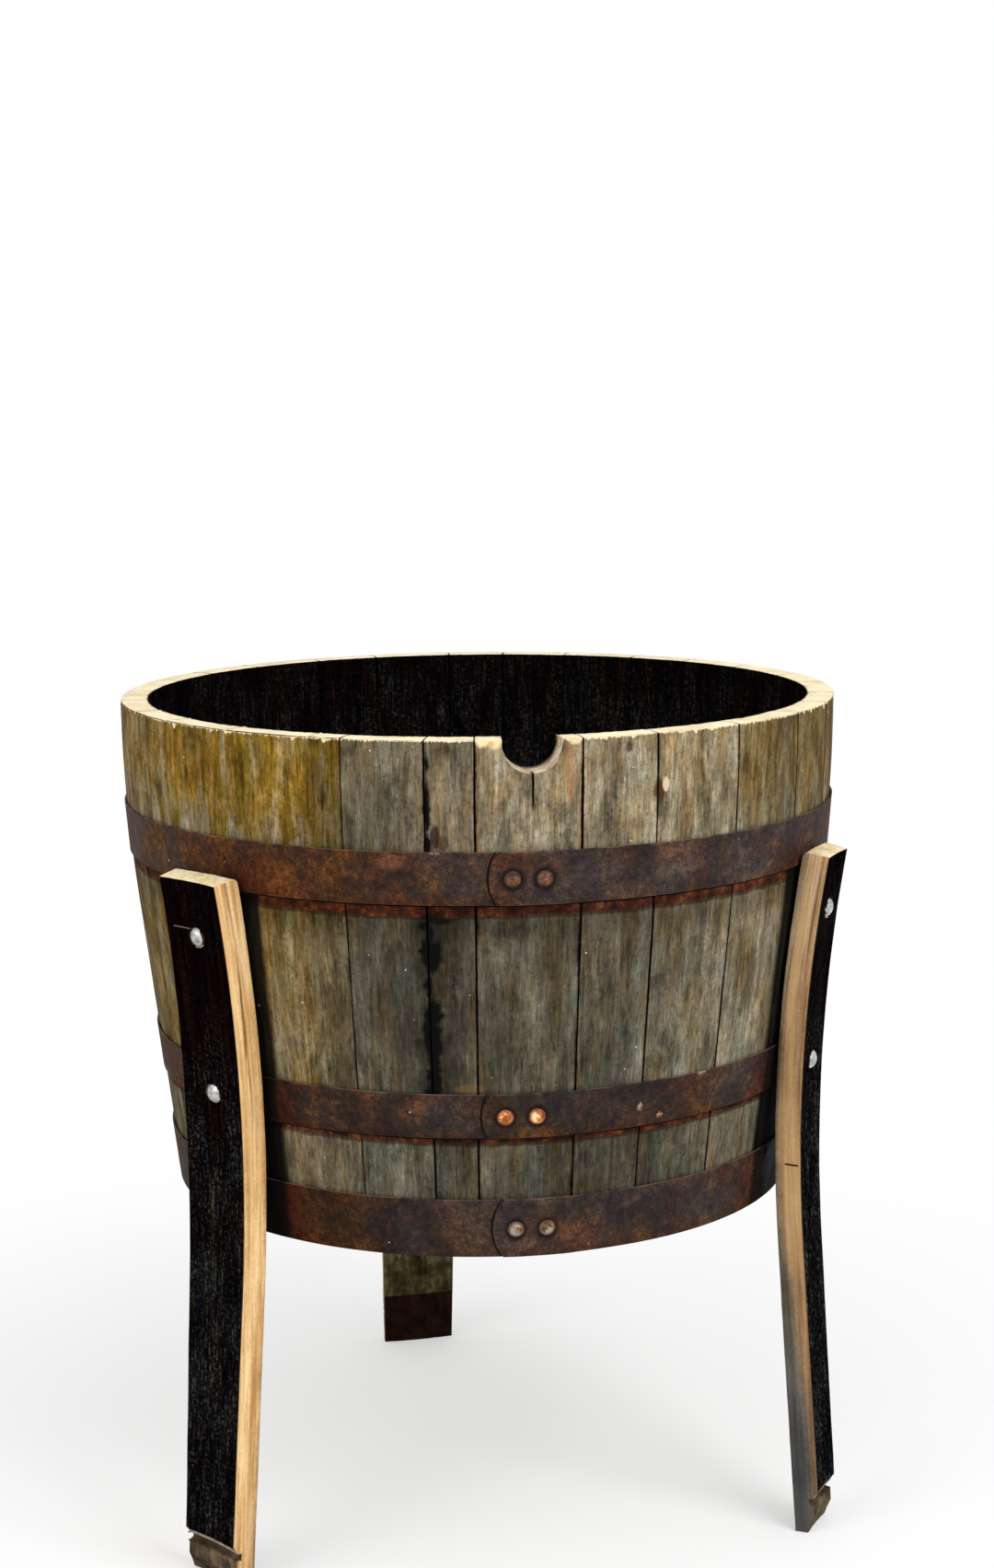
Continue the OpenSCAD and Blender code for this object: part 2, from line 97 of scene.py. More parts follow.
# Darker places on the front: turn, depth, half width, half height, slant, strength
stave_shades = [(11.8, 0.060, 0.0085, 0.052, 0.30, 0.7), (15.5, 0.18, 0.006, 0.05, 0.3, 0.5),
                (9.5, 0.207, 0.016, 0.05, 0.2, 0.6), (-1.5, 0.167, 0.03, 0.012, 0.0, 0.6),
                (-30.6, 0.25, 0.003, 0.016, 0.7, 0.5), (-22, 0.382, 0.012, 0.02, 0.3, 0.5),
                (-30.6, 0.054, 0.006, 0.018, 0.0, 0.8), (-12.3, 0.010, 0.02, 0.012, 0.0, 0.6),
                (-11.5, 0.20, 0.012, 0.07, 0.0, 0.5), (-13.5, 0.31, 0.012, 0.04, 0.0, 0.5),
                (41, 0.05, 0.004, 0.05, 0.1, 0.5), (8.6, 0.30, 0.006, 0.03, 0.0, 0.5),
                (22, 0.19, 0.008, 0.04, 0.0, 0.4), (0.5, 0.30, 0.02, 0.03, 0.0, 0.3),
                (2, 0.405, 0.014, 0.012, 0.0, 0.5)]
# Marks on the front, a knot among them: turn, depth, half width, half height, strength, colour
stave_marks = [(19.35, 0.0520, 0.0080, 0.0130, 0.85, (58, 34, 12)),
               (20.4, 0.0465, 0.0045, 0.0078, 0.9, (206, 186, 150)),
               (14.3, 0.011, 0.0034, 0.0068, 0.75, (40, 32, 24)),
               (-14.1, 0.085, 0.0055, 0.013, 0.8, (32, 16, 6)), (-13.0, 0.090, 0.008, 0.008, 0.6, (50, 26, 10)),
               (-7.2, 0.000, 0.0075, 0.0085, 0.9, (236, 212, 164)),
               (-5.4, 0.000, 0.0085, 0.0105, 0.9, (232, 206, 156)),
               (6.1, 0.000, 0.0085, 0.0075, 0.85, (228, 204, 160)),
               (5.4, 0.03, 0.0055, 0.035, 0.32, (184, 120, 68)),
               (-5.9, 0.0035, 0.003, 0.004, 0.55, (206, 126, 60)),
               (0.0, 0.0465, 0.0012, 0.0205, 0.95, (8, 6, 5)), (-13.7, 0.1605, 0.0135, 0.0048, 0.9, (9, 8, 7)),
               (-9.6, 0.3165, 0.0200, 0.0048, 0.34, (126, 88, 40))]
# Painted shadow on the wall beside each leg: turn, half width in degrees; the back leg lies across 180
leg_shadow_walls = ((-52, 9.2), (56, 7.8), (185, 9.8), (-175, 9.8))


def alone(piece):
    """Leaves only this piece selected and active."""
    bpy.ops.object.select_all(action="DESELECT")
    piece.select_set(True)
    bpy.context.view_layer.objects.active = piece


def work_on(piece):
    alone(piece)
    bpy.ops.object.mode_set(mode="EDIT")
    bpy.ops.mesh.select_all(action="SELECT")


def lay_down():
    bpy.ops.object.mode_set(mode="OBJECT")


def pick(kind, test):
    """Selects the faces, edges or points of the open piece that pass a test."""
    bpy.ops.mesh.select_mode(type=kind)
    bpy.ops.mesh.select_all(action="DESELECT")
    mesh = bmesh.from_edit_mesh(bpy.context.edit_object.data)
    for part in {"VERT": mesh.verts, "EDGE": mesh.edges, "FACE": mesh.faces}[kind]:
        if test(part):
            part.select_set(True)
    mesh.select_flush_mode()
    bmesh.update_edit_mesh(bpy.context.edit_object.data)


def swing(degrees, axis, about):
    """Turns what is selected by the right-hand rule."""
    bpy.ops.transform.rotate(value=-math.radians(degrees), orient_axis=axis, center_override=about)


def push(*way):
    bpy.ops.mesh.extrude_region_move(TRANSFORM_OT_translate={"value": way})


def twin(piece, name):
    """A copy with its own mesh."""
    made = piece.copy()
    made.data = piece.data.copy()
    made.name = name
    bpy.context.scene.collection.objects.link(made)
    return made


def close_up():
    """Merges what lies on the same spot and turns the faces outwards."""
    bpy.ops.mesh.select_all(action="SELECT")
    bpy.ops.mesh.remove_doubles(threshold=0.00001)
    bpy.ops.mesh.normals_make_consistent(inside=False)


def apply_all(piece):
    alone(piece)
    for modifier in list(piece.modifiers):
        bpy.ops.object.modifier_apply(modifier=modifier.name)


def cut(piece, cutter, how="DIFFERENCE"):
    """Takes the cutter's shape out of the piece, or keeps only what is inside it."""
    modifier = piece.modifiers.new("cut", "BOOLEAN")
    modifier.object, modifier.solver, modifier.operation = cutter, "EXACT", how
    apply_all(piece)


def throw_away(*things):
    for thing in things:
        bpy.data.objects.remove(thing)


def refine(piece):
    """Splits each face in four, so that there are points to wear down."""
    finer = piece.modifiers.new("finer", "SUBSURF")
    finer.subdivision_type, finer.levels, finer.render_levels = "SIMPLE", 1, 1
    apply_all(piece)


def wear(piece, texture, depth, stretch, shift, only=""):
    """Sinks the surface, or only one group of its points, by a clouded relief drawn out along the grain."""
    bpy.ops.object.empty_add(location=shift)
    guide = bpy.context.object
    guide.scale = stretch
    bpy.context.view_layer.update()
    modifier = piece.modifiers.new("wear", "DISPLACE")
    modifier.texture, modifier.texture_coords, modifier.texture_coords_object = texture, "OBJECT", guide
    modifier.strength, modifier.mid_level, modifier.vertex_group = depth, 1.2, only
    apply_all(piece)
    throw_away(guide)


def smooth(piece, degrees=35):
    """Shades the piece smooth, but for edges that turn by more than this."""
    alone(piece)
    bpy.ops.object.shade_smooth_by_angle(angle=math.radians(degrees))


def stave_strip(name, above):
    """The section of a stave in the plane of its middle, from above its widest place down to its end."""
    bend_centre = (rim_r - bend_r, axis_y, rim_z)
    bpy.ops.mesh.primitive_plane_add(
        size=wall, location=(rim_r - wall / 2, axis_y, rim_z - wall / 2), rotation=(math.pi / 2, 0, 0))
    strip = bpy.context.object
    strip.name = name
    bpy.ops.object.transform_apply(location=True, rotation=True, scale=True)
    work_on(strip)
    pick("VERT", lambda v: v.co.z < rim_z - wall / 2)
    bpy.ops.mesh.delete(type="VERT")
    bpy.ops.mesh.select_all(action="SELECT")
    top = math.asin(above / bend_r)
    swing(-math.degrees(top), "Y", bend_centre)
    bends = round((top + slope) * bend_r / bend_step)
    for _ in range(bends):
        push(0, 0, 0)
        swing(math.degrees(top + slope) / bends, "Y", bend_centre)
    down = Vector((-math.sin(slope), 0, -math.cos(slope)))
    inward = Vector((-math.cos(slope), 0, math.sin(slope)))
    bend_end = Vector((rim_r - bend_r * (1 - math.cos(slope)), axis_y, rim_z - bend_run))
    straight = (barrel_h - bend_run) / math.cos(slope)
    step = (straight - end_details[0][0]) / straight_steps
    height, thick = straight, wall
    rows = [(straight - step * i, wall) for i in range(1, straight_steps)] + end_details
    for next_height, next_thick in rows:
        push(*(down * (height - next_height)))
        if next_thick != thick:
            outer = bend_end + down * (straight - next_height)
            pick("VERT", lambda v: (v.co - outer).dot(down) > -0.001 and (v.co - outer).dot(inward) > 0.01)
            bpy.ops.transform.translate(value=inward * (next_thick - thick))
            pick("VERT", lambda v: (v.co - outer).dot(down) > -0.001)
        height, thick = next_height, next_thick
    # The end is sawn level
    inner_x = bend_end.x - straight * math.sin(slope) - 0.01
    pick("VERT", lambda v: v.co.z < end_z + 0.0025 and v.co.x < inner_x)
    bpy.ops.transform.resize(value=(1, 1, 0), center_override=(0, 0, end_z))
    lay_down()
    return strip


def turned_stave(strip, name, start, span, arris_wide, rounding=0.0):
    """Sweeps the section round the barrel from one seam to the next and eases the long edges."""
    stave = twin(strip, name)
    work_on(stave)
    swing(start - 90, "Z", (0, axis_y, 0))
    steps = max(6, round(span * 1.5))
    bpy.ops.mesh.spin(steps=steps, angle=-math.radians(span), center=(0, axis_y, 0), axis=(0, 0, 1))
    close_up()
    top = max(v.co.z for v in bmesh.from_edit_mesh(stave.data).verts)
    if rounding:
        pick("EDGE", lambda edge: min(v.co.z for v in edge.verts) > top - 0.0003)
        bpy.ops.mesh.bevel(offset=rounding, segments=6)

    def arris(edge):
        a, b = (v.co for v in edge.verts)
        long_edge = abs(a.z - b.z) > 0.85 * (a - b).length
        return edge.calc_face_angle(0) > 1.0 and (long_edge or min(a.z, b.z) > top - 0.005)

    pick("EDGE", arris)
    bpy.ops.mesh.bevel(offset=arris_wide, segments=2, clamp_overlap=False)
    lay_down()
    return stave


def points_of(piece):
    return np.array([v.co for v in piece.data.vertices])


def lay_grain(piece, grain):
    """Keeps a map along the grain, in metres, that is given for each point."""
    corners = np.array([loop.vertex_index for loop in piece.data.loops])
    layer = piece.data.uv_layers.new(name="grain")
    layer.data.foreach_set("uv", grain[corners].astype(np.float32).ravel())


def mark_points(piece, **marks):
    """Keeps numbers for each point, under their names, for the materials to read."""
    for name, values in marks.items():
        mark = piece.data.attributes.new(name, "FLOAT", "POINT")
        mark.data.foreach_set("value", values.astype(np.float32))


def mark_grain(piece, middle, half, shift, ochre=0.0, joint=1.0):
    """Lays the grain of a stave and marks each point's distance from a seam, from the skin and from the rim."""
    points = points_of(piece)
    x, y, below = points[:, 0], points[:, 1] - axis_y, rim_z - points[:, 2]
    out = np.hypot(x, y)
    bent = rim_r - bend_r + np.sqrt(np.maximum(bend_r ** 2 - below ** 2, 0))
    straight = rim_r - bend_r * (1 - math.cos(slope)) - (np.abs(below) - bend_run) * math.tan(slope)
    inside = np.where(np.abs(below) < bend_run, bent, straight) - out
    turn = (np.degrees(np.arctan2(x, -y)) - middle + 180) % 360 - 180
    lay_grain(piece, np.stack([np.radians(turn) * (out + inside) + inside + shift, below + 3 * shift], 1))
    mark_points(piece, seam=np.radians(half - np.abs(turn)) * out, inside=inside, below=below,
                ochre=np.full(len(out), ochre), joint=np.full(len(out), joint))


def facing_out(face):
    """How far a face looks away from the barrel's axis: 1 straight out, -1 straight in."""
    return Vector((face.center.x, face.center.y - axis_y, 0)).normalized().dot(face.normal)


def paint(colour):
    """A colour on the painter's scale of 0 to 255, made linear; four numbers or a texture stay as they are."""
    if not isinstance(colour, tuple) or len(colour) == 4:
        return colour
    return tuple((c / 255 / 12.92) if c < 10.3 else ((c / 255 + 0.055) / 1.055) ** 2.4 for c in colour) + (1.0,)


class Finish:
    """A material under way. Each call adds a node or a few and gives back the output. The tone is the colour so
    far, over which the next colours are laid."""

    def __init__(self, name, roughness=0.8, metallic=0.0, specular=0.3):
        self.material = bpy.data.materials.new(name)
        self.material.use_nodes = True
        self.tree = self.material.node_tree
        self.shader = self.tree.nodes["Principled BSDF"]
        self.tone = None
        self.shader.inputs["Roughness"].default_value = roughness
        self.shader.inputs["Metallic"].default_value = metallic
        self.shader.inputs["Specular IOR Level"].default_value = specular

    def feed(self, socket, value):
        if isinstance(value, bpy.types.NodeSocket):
            self.tree.links.new(value, socket)
        else:
            socket.default_value = value

    def node(self, kind, feeds, output=0, **settings):
        made = self.tree.nodes.new("ShaderNode" + kind)
        for key, value in settings.items():
            setattr(made, key, value)
        for key, value in feeds.items():
            self.feed(made.inputs[key], value)
        return made.outputs[output]

    def sum(self, operation, a, b=0.0, c=0.0):
        return self.node("Math", {0: a, 1: b, 2: c}, operation=operation)

    def times(self, *parts):
        *others, product = parts
        for part in reversed(others):
            product = self.sum("MULTIPLY", part, product)
        return product

    def plus(self, a, b):
        return self.sum("ADD", a, b)

    def less(self, a, b):
        return self.sum("SUBTRACT", a, b)

    def apart(self, a, b):
        return self.sum("ABSOLUTE", self.less(a, b))

    def weigh(self, *parts):
        """Adds textures up, each with its share."""
        total = 0.0
        for texture, share in parts:
            total = self.sum("MULTIPLY_ADD", texture, share, total)
        return total

    def spot(self):
        return self.node("TexCoord", {}, output="Object")

    def grain(self, x, y):
        """The map along the grain, with x features across and y along each metre."""
        where = self.node("UVMap", {}, uv_map="grain")
        return self.node("Mapping", {"Vector": where, "Scale": (x, y, 1)})

    def mark(self, name):
        return self.node("Attribute", {}, output="Fac", attribute_name=name)

    def noise(self, where, scale=1.0, detail=3.0, rough=0.55, warp=0.0):
        return self.node("TexNoise", {"Vector": where, "Scale": scale, "Detail": detail, "Roughness": rough,
                                      "Distortion": warp})

    def ease(self, value, low, high, to_low=0.0, to_high=1.0):
        return self.node("MapRange", {"Value": value, "From Min": low, "From Max": high, "To Min": to_low,
                                      "To Max": to_high}, interpolation_type="SMOOTHSTEP")

    def band(self, value, low, high, soft):
        """1 between low and high, fading outside them."""
        return self.times(self.ease(value, low - soft, low), self.ease(value, high, high + soft, 1.0, 0.0))

    def ramp(self, value, stops):
        made = self.tree.nodes.new("ShaderNodeValToRGB")
        self.tree.links.new(value, made.inputs[0])
        while len(made.color_ramp.elements) < len(stops):
            made.color_ramp.elements.new(0.5)
        for element, (place, colour) in zip(made.color_ramp.elements, stops):
            element.position = place
            element.color = paint(colour)
        return made.outputs[0]

    def blend(self, amount, a, b, kind="MIX"):
        made = self.tree.nodes.new("ShaderNodeMix")
        made.data_type, made.blend_type = "RGBA", kind
        for socket, value in ((0, amount), (6, paint(a)), (7, paint(b))):
            self.feed(made.inputs[socket], value)
        return made.outputs[2]

    def lay(self, amount, colour):
        """Lays a colour over the tone."""
        self.tone = self.blend(amount, self.tone, colour)

    def tinge(self, amount, colour):
        """Multiplies the tone by a colour."""
        self.tone = self.blend(amount, self.tone, colour, "MULTIPLY")

    def soil(self, amount, share, dirt):
        """Draws the tone towards a dirt colour, by this share where the amount is 1."""
        self.lay(amount, self.blend(share, self.tone, dirt))

    def around(self):
        """Turn round the barrel in degrees and depth below the rim in metres."""
        parts = self.node("SeparateXYZ", {"Vector": self.spot()}).node
        turn = self.sum("DEGREES", self.sum("ARCTAN2", parts.outputs[0], self.less(axis_y, parts.outputs[1])))
        return turn, self.less(rim_z, parts.outputs[2])

    def away(self, centre_y):
        """Distance from an upright line through x = 0."""
        parts = self.node("SeparateXYZ", {"Vector": self.spot()}).node
        x, y = parts.outputs[0], self.less(parts.outputs[1], centre_y)
        return self.sum("SQRT", self.plus(self.sum("POWER", x, 2.0), self.sum("POWER", y, 2.0)))

    def done(self, height, depth, gloss=None):
        """Puts the tone, a relief of this depth and perhaps a gloss on the shader."""
        bump = self.node("Bump", {"Height": height, "Distance": depth, "Strength": 1.0})
        self.feed(self.shader.inputs["Normal"], bump)
        self.feed(self.shader.inputs["Base Color"], self.tone)
        if gloss:
            self.feed(self.shader.inputs["Roughness"], gloss)
        return self.material


def mark_at(finish, turn, depth, at_turn, at_depth, wide, tall, slant=0.0, edge=0.45):
    """1 in the middle of a mark on the barrel's wall, fading to 0 at its edge."""
    y = finish.less(depth, at_depth)
    x = finish.times(finish.less(turn, at_turn), math.radians(rim_r))
    x = finish.sum("DIVIDE", finish.sum("MULTIPLY_ADD", y, slant, x), wide)
    y = finish.sum("DIVIDE", y, tall)
    far = finish.sum("SQRT", finish.plus(finish.times(x, x), finish.times(y, y)))
    return finish.ease(far, 1 - edge, 1.0, 1.0, 0.0)


def by_turn(finish, turn, stops):
    """A shade of grey that changes round the front of the barrel, from 90 degrees left to 90 right."""
    place = finish.sum("MULTIPLY_ADD", turn, 1 / 180, 0.5)
    return finish.ramp(place, [(0.5 + at / 180, (shade, shade, shade, 1.0)) for at, shade in stops])


def weathered_oak():
    """The outside of the staves. The marks and light of the front are laid by turn and depth."""
    wood = Finish("weathered_oak", roughness=0.9, specular=0.06)
    turn, depth = wood.around()
    fibre = wood.noise(wood.grain(820, 55), detail=2, rough=0.6)
    thread = wood.noise(wood.grain(300, 22), detail=3, rough=0.65)
    plank = wood.noise(wood.grain(70, 5), detail=4, rough=0.6)
    blotch = wood.noise(wood.grain(42, 17), detail=6, rough=0.68, warp=0.5)
    mottle = wood.noise(wood.spot(), scale=150, detail=4, rough=0.75)
    grit = wood.noise(wood.spot(), scale=430, detail=3, rough=0.7)
    figure = wood.sum("SINE", wood.times(wood.noise(wood.grain(15, 1.6), detail=1, rough=0.4), 95.0))
    body = wood.weigh((thread, 0.22), (fibre, 0.11), (plank, 0.2), (blotch, 0.27), (mottle, 0.14), (grit, 0.06),
                      (figure, 0.012))
    wood.tone = wood.ramp(body, [(0.40, (84, 76, 62)), (0.46, (118, 109, 92)), (0.5, (140, 130, 111)),
                                 (0.54, (160, 150, 130)), (0.60, (192, 183, 162))])
    ochre = wood.ramp(body, [(0.40, (84, 60, 12)), (0.46, (120, 92, 28)), (0.5, (146, 115, 36)),
                             (0.54, (168, 137, 58)), (0.60, (194, 169, 104))])
    # Ochre lies on the top band and on the left, in soft streaks and specks
    lower = wood.ease(turn, -37, -28.5, 0.5, 0.24)
    lower = wood.sum("MULTIPLY_ADD", wood.band(turn, -92, -62, 6), 0.5, lower)
    bare = wood.times(wood.band(depth, 0.088, 0.1, 0.035), wood.ease(blotch, 0.44, 0.56, 0.15, 0.6))
    down = wood.times(wood.ease(depth, 0.08, 0.2, 1.0, lower), wood.ease(depth, 0.32, 0.37, 1.0, 0.4))
    down = wood.times(down, wood.less(1.0, bare))
    streaks = wood.weigh((plank, 0.4), (blotch, 0.3), (mottle, 0.3))
    amount = wood.times(wood.mark("ochre"), wood.ease(streaks, 0.44, 0.57, 1.35, 0.55))
    wood.lay(wood.node("Clamp", {"Value": wood.times(amount, down)}), ochre)
    # Brown streaks, and blue-grey weather patches that grow towards the bottom
    warm = wood.weigh((wood.noise(wood.grain(52, 11), detail=5, rough=0.62, warp=0.4), 0.65), (mottle, 0.35))
    wood.tinge(wood.ease(warm, 0.47, 0.6, 0.0, 0.8), (254, 230, 186))
    cold = wood.weigh((wood.noise(wood.grain(24, 9), detail=5, rough=0.65), 0.7), (mottle, 0.3))
    cold = wood.times(wood.ease(cold, 0.48, 0.58), wood.ease(depth, 0.06, 0.36, 0.45, 0.85))
    wood.tinge(cold, (218, 236, 242))
    # Broad soft clouds of light and shade
    broad = wood.noise(wood.grain(26, 9), detail=4, rough=0.6, warp=0.6)
    wood.tinge(wood.ease(broad, 0.36, 0.5, 0.42, 0.0), (150, 146, 134))
    wood.tinge(wood.ease(broad, 0.5, 0.66, 0.0, 0.5), (1.5, 1.48, 1.42, 1.0))
    # How light the three bands of the wall are; painted shade darkens the wall just under the bilge hoop
    wobble = wood.times(wood.less(wood.noise(wood.spot(), scale=24, detail=4), 0.5), 14.0)
    around = wood.plus(turn, wobble)
    light = wood.blend(wood.ease(depth, 0.34, 0.36), by_turn(wood, around, middle_light),
                       by_turn(wood, around, lower_light))
    light = wood.blend(wood.ease(depth, 0.14, 0.16), by_turn(wood, turn, upper_light), light)
    light = wood.blend(wood.band(depth, 0.15, 0.168, 0.02), light, wood.blend(0.3, light, (0, 0, 0)))
    wood.tinge(1.0, light)
    # Dark fibres, pale fibres, open pores and specks of dirt
    wood.soil(wood.ease(fibre, 0.34, 0.46, 0.3, 0.0), 0.7, (20, 14, 8))
    wood.tinge(wood.ease(fibre, 0.56, 0.7, 0.0, 0.45), (1.4, 1.38, 1.32, 1.0))
    pore = wood.noise(wood.grain(560, 75), detail=1)
    wood.soil(wood.ease(pore, 0.62, 0.7, 0.0, 0.4), 0.8, (18, 12, 8))
    speck = wood.noise(wood.spot(), scale=240, detail=2, rough=0.6)
    wood.soil(wood.ease(speck, 0.56, 0.66, 0.0, 0.5), 0.6, (34, 20, 4))
    wood.tinge(wood.ease(speck, 0.34, 0.44, 0.5, 0.0), (1.35, 1.36, 1.34, 1.0))
    # Pale wear and dark smudges that run down the wall
    pale = wood.noise(wood.grain(48, 11), detail=5, rough=0.7)
    wood.tinge(wood.ease(pale, 0.56, 0.7, 0.0, 0.6), (1.6, 1.58, 1.5, 1.0))
    smudge = wood.noise(wood.grain(34, 16), detail=5, rough=0.72, warp=0.6)
    wood.soil(wood.ease(smudge, 0.35, 0.47, 0.6, 0.0), 0.75, (18, 20, 14))
    # The figure and the darker places of the front staves
    broken = wood.weigh((thread, 0.5), (mottle, 0.5))
    for at_turn, at_depth, wide, tall, slant, dark in stave_shades:
        shade = mark_at(wood, turn, depth, at_turn, at_depth, wide, tall, slant, 0.9)
        wood.soil(wood.times(shade, wood.ease(broken, 0.4, 0.58, dark * 1.5, dark * 0.6)), 0.75, (20, 19, 15))
    # Black water stain down the seam left of the bung stave
    cloud = wood.noise(wood.spot(), scale=46, detail=4)
    ragged = wood.weigh((blotch, 5.0), (mottle, 2.0), (thread, 1.5), (cloud, 7.0))
    line = wood.sum("ABSOLUTE", wood.plus(turn, 15.15))
    line = wood.sum("DIVIDE", line, wood.ease(depth, 0.10, 0.16, 0.35, 1.2))
    stain = wood.ease(wood.less(wood.plus(line, 7.75), ragged), 0.4, 2.0, 1.0, 0.0)
    stain = wood.times(stain, wood.ease(depth, 0.006, 0.02, 0.3, 1.0), wood.ease(depth, 0.325, 0.36, 1.0, 0.1))
    wood.lay(stain, (7, 7, 6))
    # Rust that has run out under the hoops: an even red-brown band with the hoop's dark shadow above it
    rusty = wood.ramp(wood.weigh((wood.noise(wood.spot(), scale=60, detail=4), 0.5), (mottle, 0.5)),
                      [(0.40, (24, 7, 4)), (0.47, (44, 14, 7)), (0.53, (64, 26, 12)), (0.62, (100, 54, 26))])
    drips = wood.weigh((wood.noise(wood.grain(90, 6), detail=4), 0.006), (mottle, 0.003))
    for edge, tall in ((0.146, 0.0112), (0.363, 0.0064)):
        foot = wood.less(depth, wood.plus(drips, edge + tall - 0.0045))
        rust = wood.ease(foot, -0.0022, 0.0022, 0.95, 0.0)
        wood.lay(wood.times(wood.ease(depth, edge - 0.004, edge - 0.002), rust), rusty)
        wood.lay(wood.band(depth, edge - 0.001, edge + 0.0012, 0.001), (9, 5, 4))
        wood.lay(wood.times(wood.band(foot, 0.0002, 0.0012, 0.0016), 0.5), (14, 10, 7))
    # Dark joints; beside the bung stave they are wider, with a warm brown rim on the top band
    joint, seam = wood.mark("joint"), wood.mark("seam")
    rim = wood.times(wood.ease(joint, 1.0, 1.3), wood.ease(depth, 0.09, 0.11, 0.6, 0.0))
    rim = wood.times(wood.ease(seam, 0.0012, 0.006, 1.0, 0.0), rim, wood.ease(thread, 0.4, 0.58, 0.2, 1.0))
    wood.lay(rim, (138, 88, 40))
    gape = wood.ease(wood.noise(wood.grain(4, 15), detail=4, rough=0.6), 0.36, 0.64, 0.5, 1.5)
    open_seam = wood.sum("DIVIDE", seam, wood.times(gape, wood.sum("MAXIMUM", joint, 0.3)))
    dirt = wood.ease(wood.weigh((mottle, 0.4), (blotch, 0.6)), 0.42, 0.56, 1.0, 0.4)
    dirt = wood.times(dirt, wood.ease(open_seam, 0.0006, 0.0020, 1.0, 0.0))
    wood.lay(wood.times(dirt, wood.ease(joint, 0.1, 0.8, 0.3, 1.0)), (11, 8, 5))
    # Painted black shadow on the wall beside each leg
    for leg, wide in leg_shadow_walls:
        leg_shade = wood.ease(wood.apart(turn, leg), wide - 0.9, wide + 0.7, 0.96, 0.0)
        wood.lay(wood.times(leg_shade, wood.ease(depth, 0.12, 0.15)), (8, 6, 4))
    rough_depth = wood.plus(wood.plus(wood.weigh((grit, 0.003), (mottle, 0.006)), -0.0045), depth)
    for at_turn, at_depth, wide, tall, share, tint in stave_marks:
        wood.lay(wood.times(mark_at(wood, turn, rough_depth, at_turn, at_depth, wide, tall), share), tint)
    fleck = wood.node("TexVoronoi", {"Vector": wood.spot(), "Scale": 36.0, "Randomness": 1.0},
                      output="Distance")
    wood.lay(wood.ease(fleck, 0.022, 0.04, 0.75, 0.0), (206, 202, 190))
    # Raw splinters along the sawn edge
    fine = wood.ease(wood.noise(wood.grain(380, 1), detail=3, rough=0.7), 0.42, 0.68)
    coarse = wood.ease(wood.noise(wood.grain(70, 1), detail=2), 0.58, 0.74)
    splinter = wood.plus(wood.weigh((fine, 0.0016), (coarse, 0.0042)), 0.0011)
    wood.lay(wood.ease(wood.sum("DIVIDE", depth, splinter), 0.85, 1.1, 0.9, 0.0), (232, 212, 168))
    height = wood.weigh((fibre, 0.45), (thread, 0.6), (grit, 0.3), (mottle, 0.25))
    return wood.done(wood.less(height, wood.ease(pore, 0.62, 0.72, 0.0, 0.25)), 0.0008)


def toasted_oak(name, brown, grey, scratch=False):
    """The toasted hollow of a stave: black and finely checked, with a brown or grey cast in patches."""
    char = Finish(name, roughness=0.8, specular=0.0)
    below = char.mark("below")
    fibre = char.noise(char.grain(620, 26), detail=3, rough=0.6)
    streak = char.noise(char.grain(130, 7), detail=4, rough=0.6)
    patch = char.noise(char.grain(30, 12), detail=5, rough=0.65)
    grit = char.noise(char.spot(), scale=280, detail=4, rough=0.75)
    char.tone = char.ramp(patch, [(0.36, (3, 2, 4)), (0.5, (9, 7, 8)), (0.62, (18, 16, 15))])
    warm = char.ramp(streak, [(0.36, (3, 1, 2)), (0.5, (7, 2, 3)), (0.64, (17, 6, 4))])
    char.lay(char.times(char.ease(below, -0.05, 0.25, 1.0, 0.3), brown), warm)
    # Ash and bare wood show in fine specks, more of them towards the foot
    ash = char.ease(char.weigh((grit, 0.6), (fibre, 0.4)), 0.5, 0.62, 0.0, grey)
    ash = char.times(ash, char.ease(patch, 0.42, 0.58, 0.3, 1.0))
    ash = char.times(ash, char.ease(below, -0.1, 0.12, 0.12, 1.0))
    char.lay(ash, char.ramp(streak, [(0.4, (52, 62, 66)), (0.5, (72, 76, 72)), (0.6, (86, 81, 68))]))
    if scratch:
        # Beside the upper bolt of the left leg
        turn, depth = char.around()
        line = char.band(char.sum("MULTIPLY_ADD", grit, 0.002, depth), 0.1832, 0.1838, 0.0005)
        line = char.times(line, char.band(turn, -56.4, -53.6, 0.5))
        char.lay(char.times(line, 0.5), (136, 126, 112))
    check = char.node("TexVoronoi", {"Vector": char.grain(230, 60), "Scale": 1.0}, output="Distance",
                      feature="DISTANCE_TO_EDGE")
    return char.done(char.weigh((fibre, 0.7), (grit, 0.5), (char.ease(check, 0.0, 0.1), 0.2)), 0.0011)


